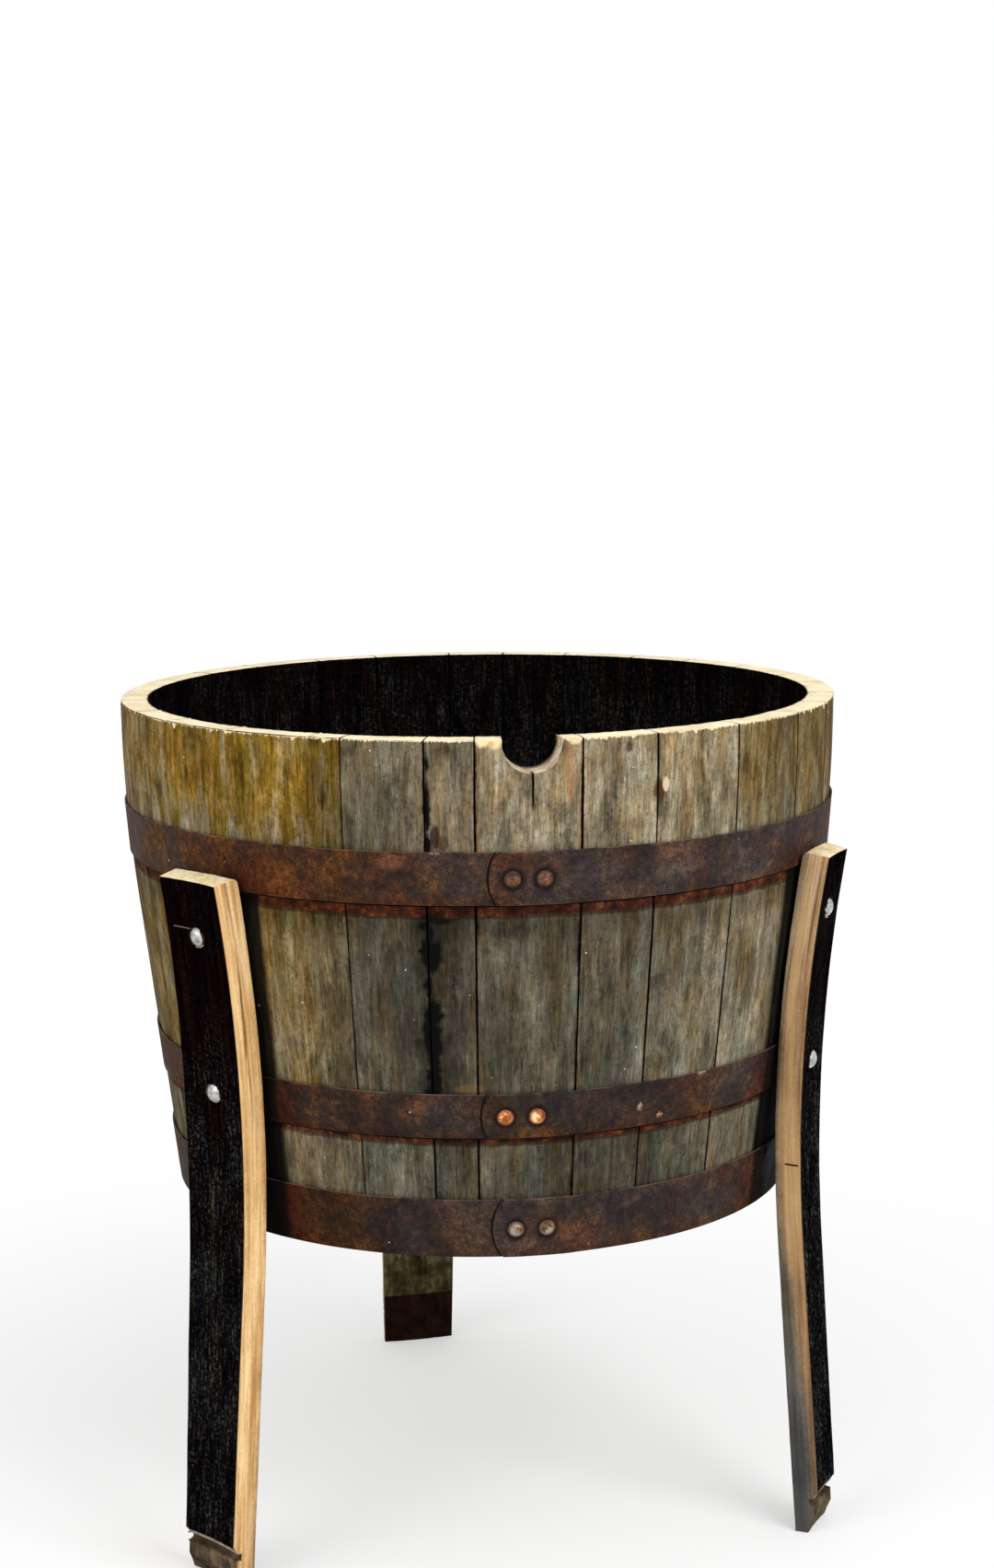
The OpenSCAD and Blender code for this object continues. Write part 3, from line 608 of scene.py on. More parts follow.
def sawn_rim():
    """End grain as the saw left it: cream, with year rings, saw marks and a dark inner edge."""
    rim = Finish("sawn_rim", roughness=0.8, specular=0.2)
    out = rim.away(axis_y)
    ring = rim.noise(rim.grain(36, 1), scale=1.0, detail=4)
    years = rim.sum("SINE", rim.sum("MULTIPLY_ADD", ring, 60.0, rim.times(out, 900.0)))
    cloud = rim.noise(rim.spot(), scale=38, detail=4)
    rim.tone = rim.ramp(cloud, [(0.3, (222, 204, 164)), (0.5, (240, 226, 190)), (0.7, (248, 238, 208))])
    rim.lay(rim.ease(years, 0.3, 1.0, 0.0, 0.22), (196, 170, 122))
    rim.lay(rim.ease(rim.mark("seam"), 0.0003, 0.0014, 0.7, 0.0), (60, 44, 28))
    inner, inner_r = rim.sum("MULTIPLY_ADD", cloud, 0.004, out), rim_r - wall
    rim.lay(rim.ease(inner, inner_r + 0.0025, inner_r + 0.0048, 0.9, 0.0), (44, 30, 20))
    saw = rim.node("TexWave", {"Vector": rim.spot(), "Scale": 120.0, "Distortion": 1.5}, output="Fac")
    return rim.done(rim.plus(saw, cloud), 0.0003)


def bung_cut():
    """The reamed face of the bung hole: grey-tan wood, darker towards the inside."""
    face = Finish("bung_cut", roughness=0.8, specular=0.1)
    cloud = face.noise(face.spot(), scale=90, detail=4)
    fibre = face.noise(face.grain(500, 500), detail=3)
    face.tone = face.ramp(face.weigh((cloud, 0.6), (fibre, 0.4)),
                          [(0.38, (150, 124, 98)), (0.5, (196, 174, 148)), (0.62, (222, 206, 182))])
    face.lay(face.ease(face.mark("inside"), 0.016, 0.025, 0.0, 0.85), (46, 34, 28))
    return face.done(fibre, 0.0005)


def stave_end(name):
    """Raw wood of the howel and the chime, brown with age, paler on the howel's edge."""
    end = Finish(name, roughness=0.85, specular=0.1)
    fibre = end.noise(end.grain(600, 40), detail=3)
    cloud = end.noise(end.spot(), scale=60, detail=4)
    end.tone = end.ramp(cloud, [(0.35, (44, 35, 26)), (0.5, (76, 62, 47)), (0.68, (112, 95, 72))])
    below = end.sum("MULTIPLY_ADD", cloud, 0.002, end.mark("below"))
    end.lay(end.band(below, 0.4368, 0.4416, 0.0008), (148, 130, 112))
    end.lay(end.ease(fibre, 0.34, 0.5, 0.55, 0.0), (26, 19, 13))
    return end.done(end.weigh((fibre, 1.0), (cloud, 1.0)), 0.0008)


stave_finishes = [weathered_oak(), toasted_oak("toasted_oak", 0.8, 0.5), sawn_rim(), bung_cut(),
                  stave_end("howel_and_chime")]
weathered, toasted, sawn, reamed, raw = range(5)
fibre_relief = bpy.data.textures.new("fibre_relief", "CLOUDS")
fibre_relief.noise_scale, fibre_relief.noise_depth, fibre_relief.contrast = 0.0055, 2, 1.4
plank_relief = bpy.data.textures.new("plank_relief", "CLOUDS")
plank_relief.noise_scale, plank_relief.noise_depth = 0.045, 1

# Bolts that hold the legs, as turn round the barrel, and distance from its axis and depth below the rim
leg_turns = [-52, 56, 185]
bolt_seats = [(0.366097, 0.189508), (0.351590, 0.338282)]
bolt_hole_r = 0.0043


def bolt_place(turn, seat, out):
    """A point on a bolt's line, out from its seat on the leg."""
    line = Matrix.Rotation(math.radians(turn - 90), 3, "Z")
    way = line @ Vector((math.cos(slope), 0, -math.sin(slope)))
    return line @ Vector((seat[0], 0, 0)) + Vector((0, axis_y, rim_z - seat[1])) + way * out, way


def rod(place, way, radius, length, sides=32):
    """A round cutter about a line."""
    bpy.ops.mesh.primitive_cylinder_add(vertices=sides, radius=radius, depth=length, location=place,
                                        rotation=way.to_track_quat("Z", "Y").to_euler())
    return bpy.context.object


section = stave_strip("section", 0.0)
seam_turn = bung_seam
for number, span in enumerate(stave_turns, 1):
    node = "bung_stave" if number == 1 else f"stave_{number:02d}"
    joint = math.degrees(seam_gap / 2 / rim_r)
    tight = number in flush_staves
    arris_wide = 0.0003 if tight else 0.0007
    stave = turned_stave(section, node + "_oak", seam_turn + joint, span - 2 * joint, arris_wide)
    middle = seam_turn + span / 2
    if number == 1:
        bpy.ops.mesh.primitive_cone_add(
            vertices=96, radius1=bung_inner_r, radius2=bung_outer_r, depth=0.043,
            location=(0, axis_y - rim_r + wall / 2, rim_z - bung_drop), rotation=(math.pi / 2, 0, 0))
        bung = bpy.context.object
        cut(stave, bung)
        bpy.ops.mesh.primitive_cube_add(size=1, location=(-0.0001, axis_y - rim_r, rim_z - crack_low),
                                        scale=(crack_wide, crack_deep, crack_long))
        crack = bpy.context.object
        work_on(crack)
        pick("VERT", lambda v: v.co.z < 0)
        bpy.ops.transform.resize(value=(0.35, 0.5, 1), center_override=(0.0002, axis_y - rim_r, 0))
        lay_down()
        cut(stave, crack)
        throw_away(bung, crack)
    for leg_turn in leg_turns:
        if abs((leg_turn - middle + 180) % 360 - 180) < span / 2:
            for seat in bolt_seats:
                drill = rod(*bolt_place(leg_turn, seat, -0.05), bolt_hole_r, 0.1)
                cut(stave, drill)
                throw_away(drill)
    refine(stave)
    seam_width = 0.15 if tight else 1.4 if number == 1 else 0.8
    mark_grain(stave, middle, span / 2, 0.37 * number, stave_ochre[number - 1], seam_width)
    # The faces of the joints don't sink, nor do the edges of the flush staves, so that the staves keep touching
    marks = stave.data.attributes
    worn = [far.value > 0.0015 or (not tight and (deep.value < 0.006 or deep.value > 0.021))
            for far, deep in zip(marks["seam"].data, marks["inside"].data)]
    stave.vertex_groups.new(name="worn").add([int(at) for at in np.flatnonzero(worn)], 1.0, "REPLACE")
    wear(stave, fibre_relief, 0.0005, (1, 1, 18), (0.011 * number, 0.007 * number, 0.31 * number), "worn")
    wear(stave, plank_relief, 0.0006, (1, 1, 5), (0.13 * number, 0.02, 0.17 * number), "worn")
    for point in stave.data.vertices:
        point.co.z = min(point.co.z, rim_z)
    for finish in stave_finishes:
        stave.data.materials.append(finish)
    inside = [mark.value for mark in stave.data.attributes["inside"].data]
    for face in stave.data.polygons:
        spot, normal = face.center, face.normal
        within = sum(inside[at] for at in face.vertices) / len(face.vertices)
        in_bung = math.hypot(spot.x, spot.z - rim_z + bung_drop) < 0.0275 and abs(normal.y) < 0.4
        if normal.z > 0.6 and spot.z > rim_z - 0.003:
            face.material_index = sawn
        elif number == 1 and in_bung and spot.z > rim_z - 0.031:
            face.material_index = reamed
        elif facing_out(face) < -0.3 or normal.z < -0.6 or within > 0.004:
            face.material_index = raw if spot.z < end_z + howel_h else toasted
        else:
            face.material_index = weathered
    smooth(stave)
    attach(stave, "root")
    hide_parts(node)
    seam_turn += span
throw_away(section)

# Head boards
# The barrel's head: six flat oak boards, dowelled edge to edge, cut round and bevelled on both sides so that the
# edge sits in the croze. The four middle boards have a drain hole each.
head_z, head_r, head_t = rim_z - 0.447, 0.2892, 0.022
boards, board_w, board_gap = 6, 0.0964, 0.0002
drain_r, drain_off = 0.0065, 0.06
# The round edge as height over the head's middle and radius. It stands 1 mm over the boards above and below, so
# that cutting by it leaves their flat faces as they are.
edge_high, edge_r = head_t / 2 + 0.001, head_r - 0.02625
head_edge = [(-edge_high, edge_r), (-0.003, head_r - 0.006), (-0.002, head_r), (0.002, head_r),
             (0.003, head_r - 0.006), (edge_high, edge_r)]


def head_oak(name, stops, rough):
    """Flat-sawn oak with the grain along the board; the stops go from the dark of the grain to the light."""
    wood = Finish(name, roughness=rough, specular=0.25)
    fibre = wood.noise(wood.grain(700, 20), detail=3, rough=0.6)
    figure = wood.noise(wood.grain(60, 3), detail=3, warp=1.2)
    patch = wood.noise(wood.grain(9, 5), detail=3)
    wood.tone = wood.ramp(wood.plus(wood.times(figure, 0.55), wood.times(patch, 0.45)), stops)
    wood.lay(wood.ease(fibre, 0.3, 0.5, 0.5, 0.0), stops[0][1])
    wood.lay(wood.ease(wood.mark("seam"), 0.0003, 0.004, 0.7, 0.0), (22, 16, 12))
    return wood.done(wood.plus(fibre, figure), 0.0009)


head_finishes = [
    head_oak("head_underside", [(0.3, (72, 62, 48)), (0.5, (118, 104, 82)), (0.7, (158, 142, 114))], 0.85),
    head_oak("wine_stained_head", [(0.3, (26, 15, 14)), (0.5, (48, 30, 26)), (0.7, (78, 56, 44))], 0.7)]
underside, stained = range(2)
height, radius = head_edge[0]
bpy.ops.mesh.primitive_circle_add(vertices=180, radius=radius, fill_type="NGON",
                                  location=(0, axis_y, head_z + height))
disc = bpy.context.object
bpy.ops.object.transform_apply(location=True)
work_on(disc)
for next_height, next_radius in head_edge[1:]:
    push(0, 0, next_height - height)
    grown = next_radius / radius
    bpy.ops.transform.resize(value=(grown, grown, 1), center_override=(0, axis_y, 0))
    height, radius = next_height, next_radius
close_up()
lay_down()
for number in range(1, boards + 1):
    middle = axis_y + (number - 0.5) * board_w - head_r
    bpy.ops.mesh.primitive_plane_add(size=1, location=(0, middle, head_z - head_t / 2))
    board = bpy.context.object
    board.name = f"head_board_{number}_oak"
    board.scale = (2 * head_r, board_w - board_gap, 1)
    bpy.ops.object.transform_apply(location=True, scale=True)
    work_on(board)
    bpy.ops.mesh.subdivide(number_cuts=23)
    push(0, 0, head_t)
    close_up()
    pick("EDGE", lambda edge: edge.calc_face_angle(0) > 1
         and (edge.verts[0].co - edge.verts[1].co).yz.length < 0.0001)
    bpy.ops.mesh.bevel(offset=0.0008, segments=2)
    lay_down()
    cut(board, disc, "INTERSECT")
    if 1 < number < boards:
        drain = rod(Vector((drain_off if number % 2 else -drain_off, middle, head_z)), Vector((0, 0, 1)),
                    drain_r, 0.05, 48)
        cut(board, drain)
        throw_away(drain)
    wear(board, fibre_relief, 0.0004, (18, 1, 1), (0.4 * number, 0.01 * number, 0.013))
    points = points_of(board)
    lay_grain(board, np.stack([points[:, 1] + points[:, 2] + 0.3 * number, points[:, 0] + 0.9 * number], 1))
    mark_points(board, seam=board_w / 2 - np.abs(points[:, 1] - middle))
    for finish in head_finishes:
        board.data.materials.append(finish)
    for face in board.data.polygons:
        face.material_index = stained if face.normal.z > 0.2 else underside
    smooth(board)
    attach(board, "root")
    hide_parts(f"head_board_{number}")
throw_away(disc)
# The dowels between the boards keep their solids
beech = Finish("dowel_beech", roughness=0.7)
pores = beech.noise(beech.node("Mapping", {"Vector": beech.spot(), "Scale": (900, 30, 900)}))
beech.feed(beech.shader.inputs["Base Color"],
           beech.ramp(pores, [(0.3, (166, 132, 86)), (0.7, (206, 178, 130))]))
for slot in bpy.data.objects["head_dowels"].material_slots:
    slot.material = beech.material

# Hoops
# Steel strip of 2 mm, red-brown with rust. Each is bent round the barrel and driven down its taper; its outer end
# is cut round and laps 70 mm over the inner one, where two rivets hold it.
strip_t, lap_long, lap_round, hoop_gap = 0.002, 0.070, 0.045, 0.0001
rivet_in, rivet_pitch, rivet_hole_r = 0.021, 0.028, 0.00305
strip_rows, off_steps, lap_steps, ring_steps = 8, 4, 10, 236
# Depth of the top edge, width, and the turn at which the outer end stops
hoops = {"bilge_hoop": (0.098, 0.048, -6.5), "quarter_hoop": (0.321, 0.042, -7.8),
         "head_hoop": (0.422, 0.056, -6.2)}
# How much red-brown rust shows round the front, and how light the steel is, by turn
hoop_rust = {"bilge_hoop": [(-80, 0.4), (-60, 0.7), (-45, 0.98), (-24, 0.7), (-12, 0.35), (0, 0.25), (12, 0.08),
                            (60, 0.15), (85, 0.4)],
             "quarter_hoop": [(-80, 0.4), (-42, 0.75), (-34, 0.5), (-20, 0.3), (-8, 0.3), (10, 0.2), (40, 0.3),
                              (70, 0.5)],
             "head_hoop": [(-80, 0.5), (-42, 0.9), (-30, 0.75), (-24, 0.4), (-14, 0.15), (10, 0.08), (24, 0.15),
                           (50, 0.5), (80, 0.5)]}
hoop_shade = {"bilge_hoop": [(-85, 0.95), (-45, 1.0), (0, 0.92), (30, 0.88), (85, 0.88)],
              "quarter_hoop": [(-85, 0.8), (-30, 0.66), (-8, 0.62), (8, 0.7), (40, 0.84)],
              "head_hoop": [(-85, 0.7), (-42, 0.42), (-26, 0.48), (-14, 0.86), (60, 0.92)]}
# Pale mineral crust and fresh rust on the front: turn, depth, half width, half height, strength, colour
hoop_flakes = {"bilge_hoop": [(-20.7, 0.1076, 0.019, 0.0100, 0.34, (160, 104, 78)),
                              (-14.2, 0.0990, 0.009, 0.0016, 0.8, (170, 140, 112))],
               "quarter_hoop": [(18.6, 0.3437, 0.0038, 0.0058, 0.85, (156, 148, 118)),
                                (22.3, 0.3553, 0.0042, 0.0026, 0.9, (196, 138, 98)),
                                (30.6, 0.3220, 0.0066, 0.0011, 0.95, (216, 206, 190))],
               "head_hoop": []}


def body_r(depth):
    """Outside radius of the barrel at a depth below the rim."""
    if depth <= bend_run:
        return rim_r - bend_r + math.sqrt(bend_r ** 2 - depth ** 2)
    return rim_r - bend_r * (1 - math.cos(slope)) - (depth - bend_run) * math.tan(slope)


def hoop_r(name, down):
    """Radius of a hoop's inner face at a distance below its top edge."""
    top, wide, _ = hoops[name]
    return body_r(top) + (body_r(top + wide) - body_r(top)) * down / wide + hoop_gap + wide ** 2 / (8 * bend_r)


def on_hoop(name, turn, down, out=0.0):
    """A point at a distance below a hoop's top edge and out from its inner face, and the way square to it."""
    top, wide, _ = hoops[name]
    lean = math.atan((hoop_r(name, 0) - hoop_r(name, wide)) / wide)
    line = Matrix.Rotation(math.radians(turn - 90), 3, "Z")
    way = line @ Vector((math.cos(lean), 0, -math.sin(lean)))
    place = line @ Vector((hoop_r(name, down) + out / math.cos(lean), 0, 0))
    return place + Vector((0, axis_y, rim_z - top - down)), way


def rivet_line(name, number):
    """The foot and direction of a rivet's line, out from the staves."""
    _, wide, lap_turn = hoops[name]
    along = (rivet_in + number * rivet_pitch) / hoop_r(name, wide / 2)
    return on_hoop(name, lap_turn + math.degrees(along), wide / 2)


def rusty_steel(name):
    """Rust over mill scale."""
    top, wide, lap_turn = hoops[name]
    steel = Finish("rusty_" + name, roughness=0.75, specular=0.08)
    turn, depth = steel.around()
    cloud = steel.noise(steel.spot(), scale=26, detail=6, rough=0.62)
    fine = steel.noise(steel.spot(), scale=180, detail=4, rough=0.7)
    grit = steel.noise(steel.spot(), scale=520, detail=3, rough=0.65)
    broad = steel.noise(steel.spot(), scale=16, detail=3, rough=0.5)
    mottle = steel.weigh((cloud, 0.48), (fine, 0.34), (grit, 0.18))
    steel.tone = steel.ramp(mottle, [(0.40, (34, 29, 27)), (0.46, (46, 39, 35)), (0.5, (54, 46, 41)),
                                     (0.54, (62, 54, 49)), (0.62, (86, 77, 70))])
    rust = steel.ramp(mottle, [(0.40, (28, 11, 5)), (0.46, (46, 24, 10)), (0.5, (60, 35, 15)),
                               (0.54, (74, 46, 20)), (0.62, (108, 70, 33))])
    clouded = steel.weigh((broad, 1.6), (cloud, 1.6), (fine, 0.8))
    low_edge = steel.ease(steel.sum("MULTIPLY_ADD", fine, 0.02, depth), top + wide * 0.78 + 0.01,
                          top + wide + 0.01, 0.0, 0.4)
    amount = steel.plus(steel.plus(by_turn(steel, turn, hoop_rust[name]), clouded), steel.less(low_edge, 2.0))
    amount = steel.node("Clamp", {"Value": amount})
    steel.lay(amount, rust)
    # A violet cast, rust specks, pits and a few pale mineral chips
    cast = steel.noise(steel.spot(), scale=60, detail=4, rough=0.65)
    steel.tinge(steel.times(steel.ease(cast, 0.46, 0.6, 0.0, 0.9), steel.less(1.0, amount)), (228, 222, 255))
    pale = steel.noise(steel.spot(), scale=21, detail=4, rough=0.55)
    steel.tinge(steel.ease(pale, 0.45, 0.62, 0.0, 0.7), (1.4, 1.40, 1.42, 1.0))
    moved = steel.node("Mapping", {"Vector": steel.spot(), "Location": (0.7, top, 0.2)})
    red = steel.noise(moved, scale=24, detail=4)
    steel.tinge(steel.ease(red, 0.5, 0.64, 0.0, 0.75), (1.3, 0.92, 0.78, 1.0))
    steel.tinge(1.0, by_turn(steel, turn, hoop_shade[name]))
    speck = steel.noise(steel.spot(), scale=300, detail=2, rough=0.6)
    patch = steel.noise(steel.spot(), scale=14, detail=3)
    specks = steel.times(steel.ease(speck, 0.58, 0.68, 0.0, 0.4), steel.ease(patch, 0.44, 0.58, 0.1, 1.0))
    steel.lay(specks, (92, 46, 22))
    steel.lay(steel.ease(grit, 0.36, 0.44, 0.4, 0.0), (18, 11, 9))
    moved = steel.node("Mapping", {"Vector": steel.spot(), "Location": (top, 0.3, 0)})
    chip = steel.node("TexVoronoi", {"Vector": moved, "Scale": 36.0}, output="Distance")
    steel.lay(steel.ease(steel.sum("MULTIPLY_ADD", grit, 0.06, chip), 0.052, 0.072, 0.8, 0.0), (176, 156, 134))
    # Painted shade beside the front legs: dark red near them and a black painted shadow in the corner
    for leg, near, far, shade_turn, share in ((-52, 8.0, 9.8, -45.0, 0.8), (56, 6.6, 8.6, 49.5, 0.5)):
        leg_shade = steel.ease(steel.apart(turn, shade_turn), 1.5, 8.5, share, 0.0)
        steel.lay(steel.times(leg_shade, steel.ease(depth, 0.106, 0.135)),
                  steel.ramp(mottle, [(0.42, (24, 6, 5)), (0.6, (70, 26, 14))]))
        black = steel.ease(steel.apart(turn, leg), near, far, 0.93, 0.0)
        steel.lay(steel.times(black, steel.ease(depth, 0.16, 0.2)), (8, 5, 4))
    ragged_turn = steel.sum("MULTIPLY_ADD", fine, 1.6, turn)
    ragged_depth = steel.sum("MULTIPLY_ADD", grit, 0.012, depth)
    for at_turn, at_depth, half_wide, half_tall, share, tint in hoop_flakes[name]:
        flake = mark_at(steel, ragged_turn, ragged_depth, at_turn + 0.8, at_depth + 0.006, half_wide, half_tall,
                        edge=0.7)
        steel.lay(steel.times(flake, steel.ease(grit, 0.42, 0.56, share * 0.4, share)), tint)
    # The edges are worn bare in places, and the top edge has a painted highlight
    rubbed_and_highlit = steel.sum("MAXIMUM", steel.ease(depth, top, top + 0.0010, 1.0, 0.0),
                       steel.ease(depth, top + wide - 0.0009, top + wide, 0.0, 0.35))
    steel.lay(steel.times(rubbed_and_highlit, steel.ease(cloud, 0.42, 0.56, 0.1, 0.6)), (132, 112, 96))
    # Painted shade: black round each rivet in the corner, and a dark line along the end of the lap
    middle = top + wide / 2
    for number in (0, 1):
        rivet_turn = lap_turn + math.degrees((rivet_in + number * rivet_pitch) / body_r(middle))
        ring = mark_at(steel, turn, depth, rivet_turn, middle + 0.0008, 0.0138, 0.0138, edge=0.42)
        steel.lay(steel.times(ring, 0.85), (16, 9, 7))
    off_middle = steel.less(depth, middle)
    back = steel.sum("SQRT", steel.less(lap_round ** 2, steel.times(off_middle, off_middle)))
    past = steel.less(steel.times(steel.less(turn, lap_turn), math.radians(body_r(top))),
                      steel.less(lap_round, back))
    steel.lay(steel.times(steel.band(past, -0.0012, 0.0002, 0.0006), 0.9), (8, 5, 5))
    return steel.done(steel.weigh((grit, 0.5), (fine, 0.6), (cloud, 1.0)), 0.0007,
                      steel.ease(cloud, 0.4, 0.6, 0.62, 0.85))


hammered = bpy.data.textures.new("hammered", "CLOUDS")
hammered.noise_scale, hammered.noise_depth = 0.03, 3
for name, (top, wide, lap_turn) in hoops.items():
    middle_r = hoop_r(name, wide / 2)
    lift = strip_t + hoop_gap
    drop = math.acos(middle_r / (middle_r + lift))
    lap = lap_long / middle_r
    start = lap_turn + math.degrees(lap + drop)
    bpy.ops.mesh.primitive_plane_add(
        size=strip_t, location=(hoop_r(name, 0) + strip_t / 2, axis_y, rim_z - top - strip_t / 2),
        rotation=(math.pi / 2, 0, 0))
    hoop = bpy.context.object
    hoop.name = name + "_strip"
    bpy.ops.object.transform_apply(location=True, rotation=True)
    work_on(hoop)
    pick("VERT", lambda v: v.co.z < rim_z - top - strip_t / 2)
    bpy.ops.mesh.delete(type="VERT")
    bpy.ops.mesh.select_all(action="SELECT")
    for _ in range(strip_rows):
        push((hoop_r(name, wide) - hoop_r(name, 0)) / strip_rows, 0, -wide / strip_rows)
    bpy.ops.mesh.select_all(action="SELECT")
    # The outer end, straight off the ring and then round above it
    for _ in range(off_steps):
        push(0, -middle_r * math.tan(drop) / off_steps, 0)
    for _ in range(lap_steps):
        push(0, 0, 0)
        swing(-math.degrees(lap) / lap_steps, "Z", (0, axis_y, 0))
    # Its corners are drawn back to make it round
    for row in range(strip_rows + 1):
        down = wide * row / strip_rows
        back = lap_round - math.sqrt(lap_round ** 2 - (wide / 2 - down) ** 2)
        for column, share in enumerate((1.0, 0.6, 0.3)):
            angle = -drop - lap * (1 - column / lap_steps)
            pick("VERT", lambda v: abs(v.co.z - rim_z + top + down) < 0.0005
                 and abs(math.atan2(v.co.y - axis_y, v.co.x) - angle) < lap / 40)
            swing(math.degrees(back * share / middle_r), "Z", (0, axis_y, 0))
    # The ring, from the plane that it started in
    pick("FACE", lambda f: all(abs(v.co.y - axis_y) < 0.00001 for v in f.verts))
    bpy.ops.mesh.spin(steps=ring_steps, angle=-(2 * math.pi - drop), center=(0, axis_y, 0), axis=(0, 0, 1))
    bpy.ops.mesh.select_all(action="SELECT")
    swing(start - 90, "Z", (0, axis_y, 0))
    bpy.ops.mesh.normals_make_consistent(inside=False)
    lay_down()
    bevel = hoop.modifiers.new("edges", "BEVEL")
    bevel.width, bevel.segments, bevel.limit_method, bevel.angle_limit = 0.00045, 2, "ANGLE", math.radians(50)
    apply_all(hoop)
    holes = [rod(*rivet_line(name, number), rivet_hole_r, 0.03) for number in (0, 1)]
    if name == "quarter_hoop":
        holes += [rod(*bolt_place(turn, bolt_seats[1], -0.03), bolt_hole_r, 0.03) for turn in leg_turns]
    for drill in holes:
        cut(hoop, drill)
    throw_away(*holes)
    refine(hoop)
    wear(hoop, hammered, 0.00035, (1, 1, 1), (0.1, top, 0.2))
    hoop.data.materials.append(rusty_steel(name))
    smooth(hoop)
    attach(hoop, "root")
    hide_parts(name)

# Hoop rivets
# Two to each lap, their round heads hammered over outside. The bilge pair is as brown as its hoop; the quarter
# pair is bright with fresh rust.
rivet_wide, rivet_high, rivet_shank = 0.016, 0.004, 0.006
# The heads bear on the outer strip of the lap
rivet_seat = 2 * lift
rivet_looks = {
    "bilge_hoop": ([(0.38, (40, 20, 10)), (0.5, (88, 49, 26)), (0.6, (138, 88, 54))], 0.6, 0.0),
    "quarter_hoop": ([(0.35, (110, 54, 20)), (0.47, (182, 104, 50)), (0.56, (232, 164, 104)),
                      (0.64, (250, 214, 170))], 0.4, 0.35),
    "head_hoop": ([(0.38, (76, 48, 20)), (0.48, (128, 94, 56)), (0.58, (152, 146, 142))], 0.5, 0.2)}


def domed(name, wide, high, shank, long, rings=10):
    """A domed head at the origin, pointing up, with a round shank under it."""
    ball = (wide ** 2 / 4 + high ** 2) / (2 * high)
    bpy.ops.mesh.primitive_uv_sphere_add(segments=32, ring_count=rings * 6, radius=ball,
                                         location=(0, 0, high - ball))
    made = bpy.context.object
    made.name = name
    bpy.ops.object.transform_apply(location=True)
    work_on(made)
    bpy.ops.mesh.bisect(plane_co=(0, 0, 0), plane_no=(0, 0, 1), clear_inner=True, use_fill=True)
    pick("FACE", lambda f: f.normal.z < -0.99 and f.calc_center_median().z < 0.00001)
    bpy.ops.mesh.inset(thickness=wide / 2 - shank / 2)
    push(0, 0, -long)
    close_up()
    lay_down()
    return made


def narrow(share):
    """Draws what is selected towards the middle line of a bolt or nail that stands on the origin."""
    bpy.ops.transform.resize(value=(share, share, 1), center_override=(0, 0, 0))


def set_on(piece, place, way):
    """Stands a piece that points up from the origin on a line."""
    piece.matrix_world = Matrix.Translation(place) @ way.to_track_quat("Z", "Y").to_matrix().to_4x4()
    alone(piece)
    bpy.ops.object.transform_apply(location=True, rotation=True)


def joined(pieces, name):
    alone(pieces[0])
    for piece in pieces:
        piece.select_set(True)
    bpy.ops.object.join()
    pieces[0].name = pieces[0].data.name = name
    return pieces[0]


def mark_rim(piece, wide):
    """Marks each point of a head that stands on the origin: 0 in its middle and 1 at its rim."""
    mark_points(piece, rim=np.array([2 * v.co.xy.length / wide for v in piece.data.vertices]))


def rivet_finish(name, stops, rough, metallic):
    """Hammered steel, with painted shade towards the rim and black painted shadow at its edge."""
    head = Finish(name, roughness=rough, metallic=metallic, specular=0.4)
    cloud = head.noise(head.spot(), scale=170, detail=4, rough=0.65)
    rim = head.sum("MULTIPLY_ADD", cloud, 0.5, head.mark("rim"))
    head.tone = head.ramp(cloud, stops)
    head.lay(head.ease(rim, 0.85, 1.2, 0.0, 0.9), stops[0][1])
    head.lay(head.ease(rim, 1.15, 1.3, 0.0, 0.8), (14, 8, 6))
    return head.done(head.noise(head.spot(), scale=420, detail=3), 0.0012,
                     head.ease(cloud, 0.3, 0.7, rough + 0.15, rough - 0.1))


pattern = domed("rivet", rivet_wide, rivet_high, rivet_shank, rivet_seat)
mark_rim(pattern, rivet_wide)
for name in hoops:
    pair = []
    for number in (0, 1):
        rivet = twin(pattern, "rivet")
        foot, way = rivet_line(name, number)
        set_on(rivet, foot + way * rivet_seat, way)
        pair.append(rivet)
    pair = joined(pair, name + "_rivet_heads")
    wear(pair, fibre_relief, 0.0004, (1, 1, 1), (0, 0, 0))
    pair.data.materials.append(rivet_finish(name + "_rivet", *rivet_looks[name]))
    smooth(pair, 40)
    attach(pair, "root")
    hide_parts(name + "_rivets")
throw_away(pattern)

# Hoop nails
# Short nails driven through the hoops into the staves so that no hoop can slip when the wood dries.
nail_turns = {"bilge_hoop": (-97, 172), "quarter_hoop": (-97, 172), "head_hoop": (-97, 54, 172)}
nail_down, nail_wide, nail_high, nail_shank, nail_long, nail_point = 0.01, 0.008, 0.0018, 0.003, 0.0152, 0.005
pattern = domed("nail", nail_wide, nail_high, nail_shank, nail_long, 5)
mark_rim(pattern, nail_wide)
work_on(pattern)
pick("FACE", lambda f: f.normal.z < -0.99 and f.calc_center_median().z < 0.0002 - nail_long)
push(0, 0, -nail_point)
narrow(0.2)
lay_down()
nails = []
for name, turns in nail_turns.items():
    for turn in turns:
        place, way = on_hoop(name, turn, nail_down, strip_t)
        nail = twin(pattern, "nail")
        set_on(nail, place + way * hoop_gap, way)
        nails.append(nail)
nails = joined(nails, "hoop_nail_heads")
nails.data.materials.append(rivet_finish(
    "nail_steel", [(0.35, (70, 58, 50)), (0.5, (120, 104, 92)), (0.65, (190, 178, 164))], 0.5, 0.4))
smooth(nails, 40)
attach(nails, "root")
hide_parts("hoop_nails")
throw_away(pattern)

